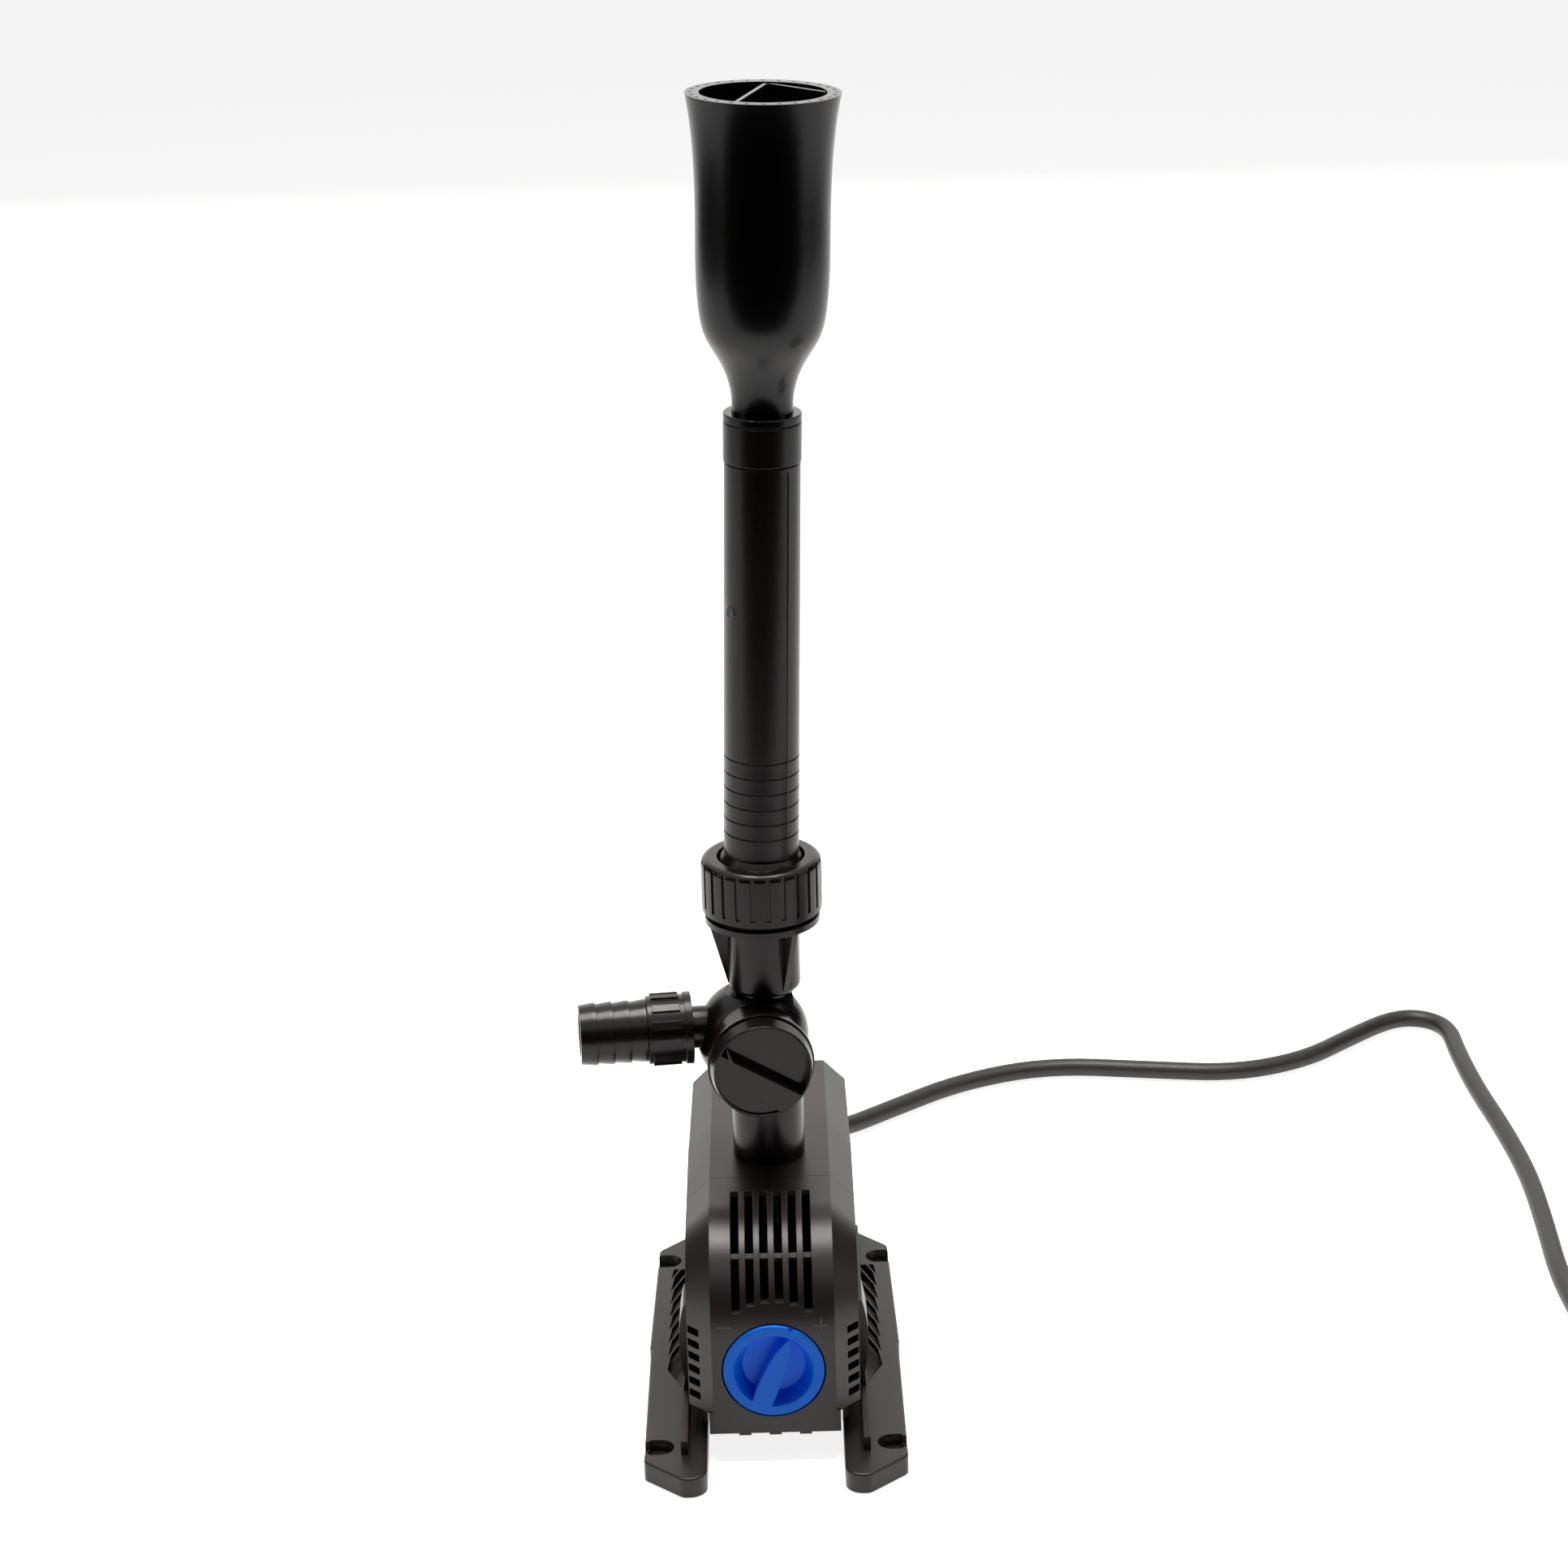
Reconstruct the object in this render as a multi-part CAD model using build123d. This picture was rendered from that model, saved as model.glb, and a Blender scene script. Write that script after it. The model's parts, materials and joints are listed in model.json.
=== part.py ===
from build123d import *
import os
from math import atan2, cos, degrees, hypot, pi, radians, sin, sqrt, tan

# Fountain submersible pump, in millimetres.
# The origin is on the floor under the outlet, +Z is up, the dial faces -Y and the hose barb -X.

# ---- fits ----
RUN = 0.05              # radial clearance of a running fit
GAP = 0.3               # clearance between separate pieces
THREAD = 0.1            # radial clearance of a screw in its hole

# ---- housing ----
BODY_HALF = 34.0        # half the width
BODY_TOP = 93.0
BODY_CHAMFER = 9.7      # the 45 degree faces beside the top
SHOULDER_Z = 20.8       # underside of the sides
BELLY_HALF = 26.0       # half the width of the part between the rails
BELLY_Z = 12.4          # underside of the belly
WALL = 2.4
FRONT_Y = -87.0
FRONT_SEAM_Y = -24.0
REAR_SEAM_Y = 24.0
REAR_Y = 88.0
REAR_TAPER = 0.8        # draft of the rear housing over its length
NOSE_R = 40.0
LIP = 4.0               # length of the locating lips at the seams
LIP_WALL = 1.2

# ---- strainer cage ----
SLOT_COUNT = 6
SLOT_WIDTH = 3.3
SLOT_PITCH = 5.7
SLOT_TOP_Y = -36.0
SLOT_END_R = 28.6       # the slots end on a circle about the dial
RIB_ANGLE = 38.5        # of the stiffening rib, from upright, about the nose
RIB_SIZE = 2.2
RIB_RECESS = 2.6
VENT_COUNT = 6
VENT_PITCH = 5.65
VENT_LOW_Z = 26.6
VENT_X = 31.5
VENT_SIZE = (6.4, 3.2)
VENT_ROUND = 0.6
MARK_SIZE = 6.0
MARK_LINE = 0.9
MARK_RAISE = 0.4
MARK_X = 19.0
MARK_Z = 59.8

# ---- dial ----
AXIS_Z = 40.4           # height of the dial, the rotor and the pump chamber
DIAL_R = 19.95
DIAL_HOLE_R = 20.55
DIAL_FACE_Y = -87.7
DIAL_THICK = 9.8
CUP_R = 15.75
CUP_FLOOR_R = 12.5
CUP_DEPTH = 6.7
DIAL_REST = 21.3        # degrees clockwise from upright, as seen from the front
STEM_R = 4.0
STEM_END_R = 3.0
THROTTLE_R = 12.0
THROTTLE_THICK = 1.6

# ---- pump chamber ----
CHAMBER_R = 23.6
CHAMBER_WALL = 2.4
CHAMBER_FRONT_Y = -15.0
CHAMBER_BACK_Y = 14.4
SEAL_THICK = 1.0
EYE_R = 11.0            # inlet windows, outer radius
EYE_HUB_R = 5.4
WINDOW_SPAN = 80.0      # degrees of each of the two inlet windows
SPIGOT_R = 12.45
SPIGOT_BORE_R = 10.0
SPIGOT_TOP = 118.0
FLANGE_THICK = 3.0
SCREW_R = 1.9
SCREW_HEAD_R = 3.6
SCREW_HEAD = 2.4
CHAMBER_SCREW_X = 26.0
CHAMBER_SCREW_Z = (28.0, 62.0)
CHAMBER_SCREW_LENGTH = 12.0

# ---- rotor and motor ----
SHAFT_R = 2.0
SHAFT_Y = (-13.4, 69.0)
BUSH_R = 3.6
IMPELLER_R = 17.5
IMPELLER_Y = (-8.0, 11.0)
DISC_THICK = 2.0
VANES = 6
MAGNET_R = 11.4
MAGNET_Y = (22.0, 66.0)
WELL_R = 12.2
WELL_WALL = 1.4
WELL_END_Y = 69.6
CAN_INSET = 4.4
CAN_WALL = 2.2
CAN_BACK_Y = 78.0
CAN_SOLID = 7.6         # solid front of the can that takes the screws
CORE_Y = (32.0, 60.0)
LEG_X = (14.2, 24.0)
POLE_X = 9.0
POLE_TOP = 54.0
LEG_BOTTOM = 28.4
YOKE_Z = (74.0, 83.3)
COIL_Z = (56.0, 73.0)
COIL_BUILD = (4.6, 2.8)  # towards the middle and towards the outside

# ---- base frame ----
RAIL_FRONT_HALF = 52.0
RAIL_MID_HALF = 51.5
RAIL_REAR_HALF = 50.0
RAIL_STEP = 0.5
RAIL_STEP_Y = -12.0
RAIL_INNER = 27.0
RAIL_TOP = 8.5
RAIL_FRONT_Y = -113.0
RAIL_REAR_Y = 86.0
FOOT_SLANT = 13.5
FOOT_TIP_X = 36.5
PLATE = 2.6             # top plate of a rail
RAIL_SKIN = 1.6         # bottom of a rail under its louvres
RAIL_WALL = 2.4
NOTCH_HALF_SPAN = 76.0
NOTCH_CENTRE_Y = -13.5
NOTCH_WIDTH = 11.0
NOTCH_INNER_X = 40.2
NOTCH_FLOOR = 3.2
NOTCH_LIP = 1.6
BOLT_SLOT = (9.0, 5.4)
BOLT_X = 45.6
LOUVRES = 8
LOUVRE_PITCH = 10.9
LOUVRE_FIRST_Y = -29.8
LOUVRE_TIP_X = 44.2
LOUVRE_STEP_X = 42.9
LOUVRE_SLOPE = 2.6      # millimetres back for each millimetre inwards
LOUVRE_OPEN = 8.9
LOUVRE_END_Y = 55.0
ARROW_Y = -45.0
SIDE_WALL_X = (34.6, 37.4)
SIDE_WALL_TOP = 14.6
SIDE_WALL_Y = (-95.5, 80.0)
LEDGE_X = (27.0, 29.4)
LEDGE_Y = (-72.0, 80.0)
CROSS_Z = (7.0, 11.1)
BOSS_TOP = BELLY_Z - GAP
CROSS_Y = ((-60.0, -44.0), (-8.0, 8.0), (44.0, 60.0))
PAD = 12.0              # half the length of the pad under the middle cross-member
BASE_SCREW_X = 15.0
BASE_SCREW_Y = (-52.0, 52.0)
BASE_SCREW_TOP = 16.0

# ---- side clips ----
CLIP_Y = (-56.0, -38.0)
CLIP_THICK = 2.0
CLIP_TOP = 53.0
CLIP_BULGE = 1.6
CLIP_PIN_R = 0.9
CLIP_PIVOT = (36.0, 12.2)
CLIP_FOOT_R = 1.5

# ---- T-piece ----
YAW = 6.2               # the T-piece as it stands, turned about the outlet
SLEEVE_R = 14.65
VALVE_X = -5.3          # the valve sits a little towards the side arm
VALVE_Z = 146.6
VALVE_BALL_R = 22.7
VALVE_BALL_Z = 145.8
VALVE_DRUM_R = 18.2
VALVE_RIM = (20.2, 5.0)  # radius and depth of the seat of the cover
VALVE_RING_R = 21.4
VALVE_FACE_Y = -30.6
VALVE_RING_THICK = 1.6
SPOOL_R = 15.95
SPOOL_Y = (-27.8, 13.5)
COVER_R = 17.6
COVER_THICK = 2.2
PORT_R = 7.5
NECK_R = 9.2
NECK_LOW = 165.7
NECK_TOP = 178.0
ARM_R = 8.5
ARM_BORE_R = 6.0
ARM_Z = 150.9
ARM_X = (-31.0, -38.0)  # where the thread starts and the arm ends
ARM_THREAD_R = 11.1
KNOB_R = 20.6
KNOB_FACE_R = 19.6
KNOB_THICK = 7.1
KNOB_RECESS = 5.0
KNOB_RAMP = 2.6         # how far the recess wall slopes in
KNOB_MOUTH_R = 18.7
KNOB_STEP = 1.2
KNOB_EDGE = ((-11.8, 5.2), (15.4, -11.6))
KNOB_STEM_R = 4.0
KNOB_STEM = 5.0         # length of the stem inside the spool

# ---- riser socket and its union nut ----
SOCKET_Z = 166.0
SOCKET_R = 14.6
SOCKET_SHOULDER = 2.5
SOCKET_FLANGE_R = 23.0
SOCKET_FLANGE_Z = (196.8, 199.4)
SOCKET_RIBS = 3
SOCKET_THREAD_R = 20.9
SOCKET_THREAD_TOP = 211.5
BALL_Z = 214.0
BALL_R = 19.0
BALL_BOTTOM = 205.0
SEAT_RING_R = (10.4, 13.3)
SEAT_RING_Z = 196.6
NUT_R = 24.0
NUT_Z = (202.0, 224.0)
NUT_HOLE_R = 17.6
NUT_ROUND = 3.0
NUT_GROOVES = 24

# ---- riser, collar and nozzle ----
LEAN = 1.65             # the riser as it stands, towards +X
RISER_FOOT_R = 15.0
RISER_TOP_R = 14.7
RISER_TOP = 385.7
RISER_BORE_R = 11.0
RISER_SPIGOT_R = 13.0
RISER_SPIGOT = 10.0
RING_COUNT = 6
RING_FIRST_Z = 235.4
RING_PITCH = 6.38
RING_CUT = (0.9, 0.45)
BUTTON_Z = 327.3
BUTTON_R = 2.5
BUTTON_TURN = 215.0
COLLAR_R = 15.05
COLLAR_TOP = 401.3
STEM_TOP = 404.8
STEM_SPIGOT_R = 10.7
STEM_LOW = 388.0
NOZZLE_TOP = 525.0
NOZZLE_PROFILE = ((11.9, 404.8), (11.75, 409.0), (12.5, 414.6), (16.4, 424.7), (22.0, 434.6),
                  (24.2, 444.3), (25.3, 475.0), (26.9, 512.0), (28.95, 525.0))
NOZZLE_WALL = 1.4
NOZZLE_MOUTH_R = 23.7
INSERT_WALL = 1.2
INSERT_FLOOR_Z = 448.0
INSERT_FLOOR_R = 19.6
RIM_THICK = 2.0
JETS = 28
JET_R = 0.75
VANE_WALL = 1.5
VANE_BOTTOM = 492.0

# ---- hose barb and side nut ----
BARB_END_X = -75.4
BARB_TEETH = 4
BARB_R = 12.7
BARB_ROOT_R = 12.0
BARB_LAND = 1.2
BARB_SEAT_R = 9.6       # neck of the barb inside the nut's lip
BARB_BORE_R = 8.6
SIDE_NUT_X = (-30.2, -48.2)
SIDE_NUT_R = 14.65
NUT_LIP = 3.0
SIDE_NUT_BARS = 12
SIDE_NUT_BAR = (11.3, 3.2, 0.8)

# ---- cord ----
CORD_D = 8.6
GLAND_X = 10.0
GLAND_Z = 34.0
RELIEF_END_Y = 122.0
COIL_CENTRE = (436.0, -92.0)
COIL_MID_R = 77.0
COIL_WIDTH = 4 * CORD_D
COIL_HEIGHT = 5 * CORD_D
TIE_TURN = 280.0
PLUG_R = 18.5
PLUG_START = (COIL_CENTRE[0] + COIL_MID_R + 14.0, 22.0)

# The cord's route from the strain relief to the coil, chosen by hand.
CORD_ROUTE = [
    (10.0, 122.0, 34.0), (10.0, 140.0, 34.0), (12.0, 158.0, 26.5), (19.0, 176.0, 13.5),
    (33.0, 194.0, 5.2), (58.0, 216.0, 4.4), (92.0, 243.0, 4.4), (136.0, 259.0, 4.4), (186.0, 251.0, 4.4),
    (226.0, 245.0, 4.4), (262.0, 258.0, 4.4), (288.0, 282.0, 4.4), (309.0, 300.0, 4.4),
    (322.0, 304.0, 4.4), (333.0, 299.0, 4.4), (339.0, 287.0, 4.4), (338.0, 264.0, 4.4),
    (339.0, 222.0, 4.4), (343.0, 178.0, 4.4), (345.0, 130.0, 4.4), (342.0, 82.0, 4.4),
    (338.0, 36.0, 4.4), (340.0, -8.0, 4.4), (344.6, -50.0, 4.4), (346.1, -92.0, 4.4),
]
# From the top of the coil down to the plug beside it.
TAIL_ROUTE = [
    (508.7, -92.0, 38.8), (510.5, -66.0, 38.8), (516.0, -40.0, 32.0),
    (524.0, -15.0, 21.0), (527.0, 6.0, 18.8), (527.0, 22.0, 18.8),
]


# ---------------------------------------------------------------- helpers

def block(x, y, z):
    """A box from three (low, high) pairs."""
    size = Box(x[1] - x[0], y[1] - y[0], z[1] - z[0])
    return Pos((x[0] + x[1]) / 2, (y[0] + y[1]) / 2, (z[0] + z[1]) / 2) * size


def rod_x(radius, x, y=0.0, z=0.0):
    low, high = min(x), max(x)
    return Pos((low + high) / 2, y, z) * Rot(Y=90) * Cylinder(radius, high - low)


def rod_y(radius, y, x=0.0, z=AXIS_Z):
    low, high = min(y), max(y)
    return Pos(x, (low + high) / 2, z) * Rot(X=90) * Cylinder(radius, high - low)


def rod_z(radius, z, x=0.0, y=0.0):
    return Pos(x, y, (z[0] + z[1]) / 2) * Cylinder(radius, z[1] - z[0])


def turned(points):
    """A solid turned about Z from (radius, z) points."""
    outline = Polyline(*[(r, z) for r, z in points], close=True)
    return revolve(Plane.XZ * make_face(outline), Axis.Z)


def facing_front(shape, x, y, z):
    """Place a shape drawn as seen from the front, its +Z towards the viewer, at (x, y, z)."""
    return Pos(x, y, z) * Rot(X=90) * shape


def ring_about(radius, section, z):
    return Pos(0, 0, z) * Torus(radius, section)


def wedge(angle, span, reach, depth):
    """A wedge of a circle from z = -depth to depth, centred on an angle."""
    half = radians(span / 2)
    middle = radians(angle)
    corners = [(0, 0)]
    for turn in (middle - half, middle, middle + half):
        corners.append((reach * cos(turn), reach * sin(turn)))
    return extrude(make_face(Polyline(*corners, close=True)), amount=depth, both=True)


def mirrored(shape):
    return mirror(shape, about=Plane.YZ)


# ---------------------------------------------------------------- housing

def housing_outline(inset):
    """Cross-section of the housing, shrunk by inset, as (x, z) points."""
    corner = inset * (sqrt(2) - 1)
    right = [
        (BELLY_HALF - inset, BELLY_Z + inset),
        (BELLY_HALF - inset, SHOULDER_Z + inset),
        (BODY_HALF - inset, SHOULDER_Z + inset),
        (BODY_HALF - inset, BODY_TOP - BODY_CHAMFER - corner),
        (BODY_HALF - BODY_CHAMFER - corner, BODY_TOP - inset),
    ]
    return right + [(-x, z) for x, z in reversed(right)]


def housing_face(y, inset):
    outline = Polyline(*housing_outline(inset), close=True)
    return Plane.XZ.offset(-y) * make_face(outline)


def housing_prism(y, inset):
    return extrude(housing_face(y[0], inset), amount=y[1] - y[0], dir=(0, 1, 0))


def housing_draft(y, inset, draft):
    """Like housing_prism, but drawn in by draft at its far end."""
    return loft([housing_face(y[0], inset), housing_face(y[1], inset + draft)], ruled=True)


def base_screw_cuts():
    holes = [rod_z(SCREW_R + THREAD, (BELLY_Z - 8, BASE_SCREW_TOP + GAP), x, y)
             for x in (-BASE_SCREW_X, BASE_SCREW_X) for y in BASE_SCREW_Y]
    return holes


def middle_housing():
    y = (FRONT_SEAM_Y, REAR_SEAM_Y)
    shell = housing_prism(y, 0)
    shell -= housing_prism((y[0] - 1, y[1] + 1), WALL)
    lip = WALL + GAP
    for seam, side in ((FRONT_SEAM_Y, -1), (REAR_SEAM_Y, 1)):
        span = sorted((seam - side * LIP, seam + side * LIP))
        root = sorted((seam - side * LIP, seam))
        ring = housing_prism(span, lip) - housing_prism((span[0] - 1, span[1] + 1), lip + LIP_WALL)
        foot = housing_prism(root, WALL / 2) - housing_prism((root[0] - 1, root[1] + 1), lip + LIP_WALL)
        shell += ring + foot
    return shell - rod_z(SPIGOT_R + GAP, (BODY_TOP - 8, BODY_TOP + 1))


def rear_housing():
    y = (REAR_SEAM_Y + GAP / 2, REAR_Y)
    shell = housing_draft(y, 0.15, REAR_TAPER)
    rim = shell.faces().sort_by(Axis.Y)[-1].edges()
    shell = fillet(rim, 1.6)
    inner = housing_draft((y[0] - 1, y[1] - WALL), WALL, REAR_TAPER)
    shell -= inner
    shell -= rod_y(cord_gland_r() + GAP, (REAR_Y - 10, REAR_Y + 1), GLAND_X, GLAND_Z)
    for hole in base_screw_cuts():
        shell -= hole
    return shell


def nose_face(inset, back, low):
    """Side view of the cage: flat top, round nose and upright front."""
    nose_y = FRONT_Y + NOSE_R
    nose_z = BODY_TOP - NOSE_R
    radius = NOSE_R - inset
    front = FRONT_Y + inset
    top = BODY_TOP - inset
    edges = [
        Line((back, low), (back, top)),
        Line((back, top), (nose_y, top)),
        CenterArc((nose_y, nose_z), radius, 90, 90),
        Line((front, nose_z), (front, low)),
        Line((front, low), (back, low)),
    ]
    return Plane.YZ * make_face(edges)


def nose_solid(inset, back):
    low = SHOULDER_Z + inset
    half = BODY_HALF - inset
    solid = extrude(nose_face(inset, back, low), amount=half, both=True)

    def follows_nose(edge):
        middle = edge.center()
        return abs(abs(middle.X) - half) < 0.01 and middle.Y < back - 0.01 and middle.Z > low + 0.01

    solid = chamfer(solid.edges().filter_by(follows_nose), BODY_CHAMFER - inset * (2 - sqrt(2)))
    belly_half = BELLY_HALF - inset
    return solid + block((-belly_half, belly_half), (FRONT_Y + inset, back), (BELLY_Z + inset, low + 1))


def slot_positions():
    return [(i - (SLOT_COUNT - 1) / 2) * SLOT_PITCH for i in range(SLOT_COUNT)]


def grille_cuts():
    cuts = []
    for x in slot_positions():
        low = AXIS_Z + sqrt(SLOT_END_R ** 2 - x ** 2)
        half = SLOT_WIDTH / 2
        cuts.append(block((x - half, x + half), (FRONT_Y - 1, SLOT_TOP_Y), (low, BODY_TOP + 1)))
    return cuts


def grille_rib():
    reach = slot_positions()[-1] + SLOT_WIDTH
    outer = NOSE_R - RIB_RECESS
    bar = Box(2 * reach, RIB_SIZE, RIB_SIZE + 1)
    centre = Pos(0, FRONT_Y + NOSE_R, BODY_TOP - NOSE_R)
    return centre * Rot(X=RIB_ANGLE) * Pos(0, 0, outer - (RIB_SIZE + 1) / 2) * bar


def vent_cuts():
    """Vents through the right front corner face, and their mirror images."""
    y = FRONT_Y + VENT_X - (BODY_HALF - BODY_CHAMFER)
    cuts = []
    for i in range(VENT_COUNT):
        z = VENT_LOW_Z + i * VENT_PITCH
        plane = Plane(origin=(VENT_X, y, z), x_dir=(-1, -1, 0), z_dir=(1, -1, 0))
        vent = extrude(plane * RectangleRounded(*VENT_SIZE, VENT_ROUND), amount=6, both=True)
        cuts += [vent, mirrored(vent)]
    return cuts


def nose_y_at(z):
    """Front surface of the cage at a height."""
    rise = max(0.0, z - (BODY_TOP - NOSE_R))
    return FRONT_Y + NOSE_R - sqrt(NOSE_R ** 2 - rise ** 2)


def marks():
    y = nose_y_at(MARK_Z)
    depth = (y - MARK_RAISE, y + 1)
    half, line = MARK_SIZE / 2, MARK_LINE / 2
    bars = []
    for x in (-MARK_X, MARK_X):
        bars.append(block((x - half, x + half), depth, (MARK_Z - line, MARK_Z + line)))
    bars.append(block((MARK_X - line, MARK_X + line), depth, (MARK_Z - half, MARK_Z + half)))
    return bars


def dial_well():
    """Cup behind the dial, with the bearing boss for its stem."""
    back = DIAL_FACE_Y + DIAL_THICK + GAP
    outer = DIAL_HOLE_R + 1.6
    cup = rod_y(outer, (FRONT_Y + WALL / 2, back + 1.8)) - rod_y(DIAL_HOLE_R, (FRONT_Y - 1, back))
    boss = rod_y(STEM_R + 3, (back, back + 7))
    return (cup + boss) - rod_y(STEM_R + RUN, (back - 1, back + 8))


def strainer_cage():
    back = FRONT_SEAM_Y - GAP / 2
    cage = nose_solid(0, back) - nose_solid(WALL, back + 1)
    for cut in grille_cuts() + vent_cuts():
        cage -= cut
    cage += grille_rib()
    cage -= rod_y(DIAL_HOLE_R, (FRONT_Y - 2, FRONT_Y + WALL + 2))
    cage += dial_well()
    for mark in marks():
        cage += mark
    for x in (-12.0, 0.0, 12.0):
        cage += block((x - 2.4, x + 2.4), (FRONT_Y, FRONT_Y + WALL), (BELLY_Z - 0.9, BELLY_Z + 1))
    for hole in base_screw_cuts():
        cage -= hole
    return cage


# ---------------------------------------------------------------- dial

def dial_grip():
    """Leaf-shaped grip, drawn upright with its tip at the nick."""
    tip = (1.1, 15.6)
    left = Spline(tip, (-1.9, 7.9), (-3.3, -1.8), (-3.6, -12.0), (-2.8, -17.0))
    right = Spline(tip, (3.7, 7.0), (4.7, -4.7), (4.7, -16.8))
    return extrude(make_face([left, right, Line(left @ 1, right @ 1)]), amount=-CUP_DEPTH - 1)


def flow_dial():
    body = Pos(0, 0, -DIAL_THICK / 2) * Cylinder(DIAL_R, DIAL_THICK)
    body = fillet(body.faces().sort_by(Axis.Z)[-1].edges(), 0.8)
    cup = turned([(0, 0.01), (CUP_R, 0.01), (CUP_FLOOR_R, -CUP_DEPTH), (0, -CUP_DEPTH)])
    body -= cup
    body = fillet(body.edges().filter_by(GeomType.CIRCLE).filter_by(
        lambda e: abs(e.radius - CUP_R) < 0.1 and abs(e.center().Z) < 0.05), 0.5)
    body += dial_grip()
    nick = Pos(0, DIAL_R, 0) * Rot(Z=45) * Box(2.2, 2.2, 3)
    body -= nick
    return facing_front(Rot(Z=-DIAL_REST) * body, 0, DIAL_FACE_Y, AXIS_Z)


def dial_stem():
    """Stem pressed on the back of the dial; it carries the retaining ring and the throttle plate."""
    plate = throttle_y()[0]
    stem = rod_y(STEM_R, (DIAL_FACE_Y + DIAL_THICK, plate - 6))
    return stem + rod_y(STEM_END_R, (plate - 7, plate + 0.2))


def throttle_y():
    back = CHAMBER_FRONT_Y - GAP
    return (back - THROTTLE_THICK, back)


def throttle_plate():
    """Shutter in front of the inlet windows, keyed on the dial's stem."""
    y = throttle_y()
    plate = rod_y(THROTTLE_R, y) + rod_y(STEM_R + 2, (y[0] - 6, y[0] + 0.5))
    for side in (0, 180):
        window = Pos(0, 0, 0) * wedge(side + 45 - DIAL_REST, WINDOW_SPAN, 30, 4)
        ring = Cylinder(EYE_R, 8) - Cylinder(EYE_HUB_R + 1.5, 9)
        plate -= facing_front(window & ring, 0, y[1], AXIS_Z)
    return plate - rod_y(STEM_END_R, (y[0] - 7, y[0] + 0.2))


def dial_clip():
    """Retaining ring on the stem, behind the bearing boss."""
    back = DIAL_FACE_Y + DIAL_THICK + GAP + 7
    y = (back + GAP, back + GAP + 1.2)
    return rod_y(STEM_R + 2.2, y) - rod_y(STEM_R, (y[0] - 1, y[1] + 1))


# ---------------------------------------------------------------- pump chamber and rotor

def chamber_screw_places():
    return [(x, z) for x in (-CHAMBER_SCREW_X, CHAMBER_SCREW_X) for z in CHAMBER_SCREW_Z]


def volute_cover():
    front, back = CHAMBER_FRONT_Y, CHAMBER_BACK_Y
    body = rod_y(CHAMBER_R, (front, back))
    body += rod_z(SPIGOT_R, (AXIS_Z + CHAMBER_R - 8, SPIGOT_TOP))
    body += chamber_flange()
    body -= rod_y(CHAMBER_R - CHAMBER_WALL, (front + CHAMBER_WALL, back + 1))
    body -= rod_z(SPIGOT_BORE_R, (AXIS_Z + 5, SPIGOT_TOP + 1))
    body -= rod_z(SPIGOT_R + 1, (SPIGOT_TOP - 7, SPIGOT_TOP - 5)) - rod_z(SPIGOT_R - 1.7, (90, 130))
    body += rod_y(EYE_HUB_R, (front, front + 5.4))
    for side in (0, 180):
        ring = Cylinder(EYE_R, 20) - Cylinder(EYE_HUB_R, 21)
        body -= facing_front(wedge(side, WINDOW_SPAN, 30, 3.5) & ring, 0, front, AXIS_Z)
    body -= rod_y(BUSH_R, (front + 1.2, front + 9))
    return body


def chamber_flange():
    """Flange with four ears for the screws."""
    y = (CHAMBER_BACK_Y - FLANGE_THICK, CHAMBER_BACK_Y)
    plate = rod_y(CHAMBER_R, y)
    ear = SCREW_HEAD_R + 0.2
    for x, z in chamber_screw_places():
        plate += rod_y(ear, y, x, z)
    for z in CHAMBER_SCREW_Z:
        plate += block((-CHAMBER_SCREW_X, CHAMBER_SCREW_X), y, (z - ear, z + ear))
    for x, z in chamber_screw_places():
        plate -= rod_y(SCREW_R + THREAD, (y[0] - 1, y[1] + 1), x, z)
    return plate


def chamber_screws():
    head = (CHAMBER_BACK_Y - FLANGE_THICK - SCREW_HEAD, CHAMBER_BACK_Y - FLANGE_THICK)
    solids = []
    for x, z in chamber_screw_places():
        screw = rod_y(SCREW_HEAD_R, head, x, z) + rod_y(SCREW_R, (head[1], head[1] + CHAMBER_SCREW_LENGTH), x, z)
        socket = block((x - 0.5, x + 0.5), (head[0] - 1, head[0] + 1.2), (z - 2.4, z + 2.4))
        socket += block((x - 2.4, x + 2.4), (head[0] - 1, head[0] + 1.2), (z - 0.5, z + 0.5))
        solids.append(screw - socket)
    return solids


def can_front_y():
    return CHAMBER_BACK_Y + SEAL_THICK


def chamber_seal():
    y = (CHAMBER_BACK_Y, can_front_y())
    return rod_y(CHAMBER_R, y) - rod_y(CHAMBER_R - CHAMBER_WALL, (y[0] - 1, y[1] + 1))


def outlet_seal():
    """O-ring in the groove near the top of the spigot."""
    return ring_about(SPIGOT_R - 0.85, 0.8, SPIGOT_TOP - 6)


def motor_can():
    front = can_front_y()
    can = housing_prism((front, front + FLANGE_THICK), WALL + 0.6)
    can += housing_prism((front + FLANGE_THICK - 0.5, CAN_BACK_Y), CAN_INSET)
    can -= housing_prism((front + FLANGE_THICK + CAN_SOLID, CAN_BACK_Y + 1), CAN_INSET + CAN_WALL)
    can += rod_y(WELL_R + WELL_WALL, (front + 1, WELL_END_Y + 2))
    can -= rod_y(WELL_R, (front - 1, WELL_END_Y))
    for x, z in chamber_screw_places():
        can -= rod_y(SCREW_R + THREAD, (front - 1, front + CHAMBER_SCREW_LENGTH - 2), x, z)
    return can


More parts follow.
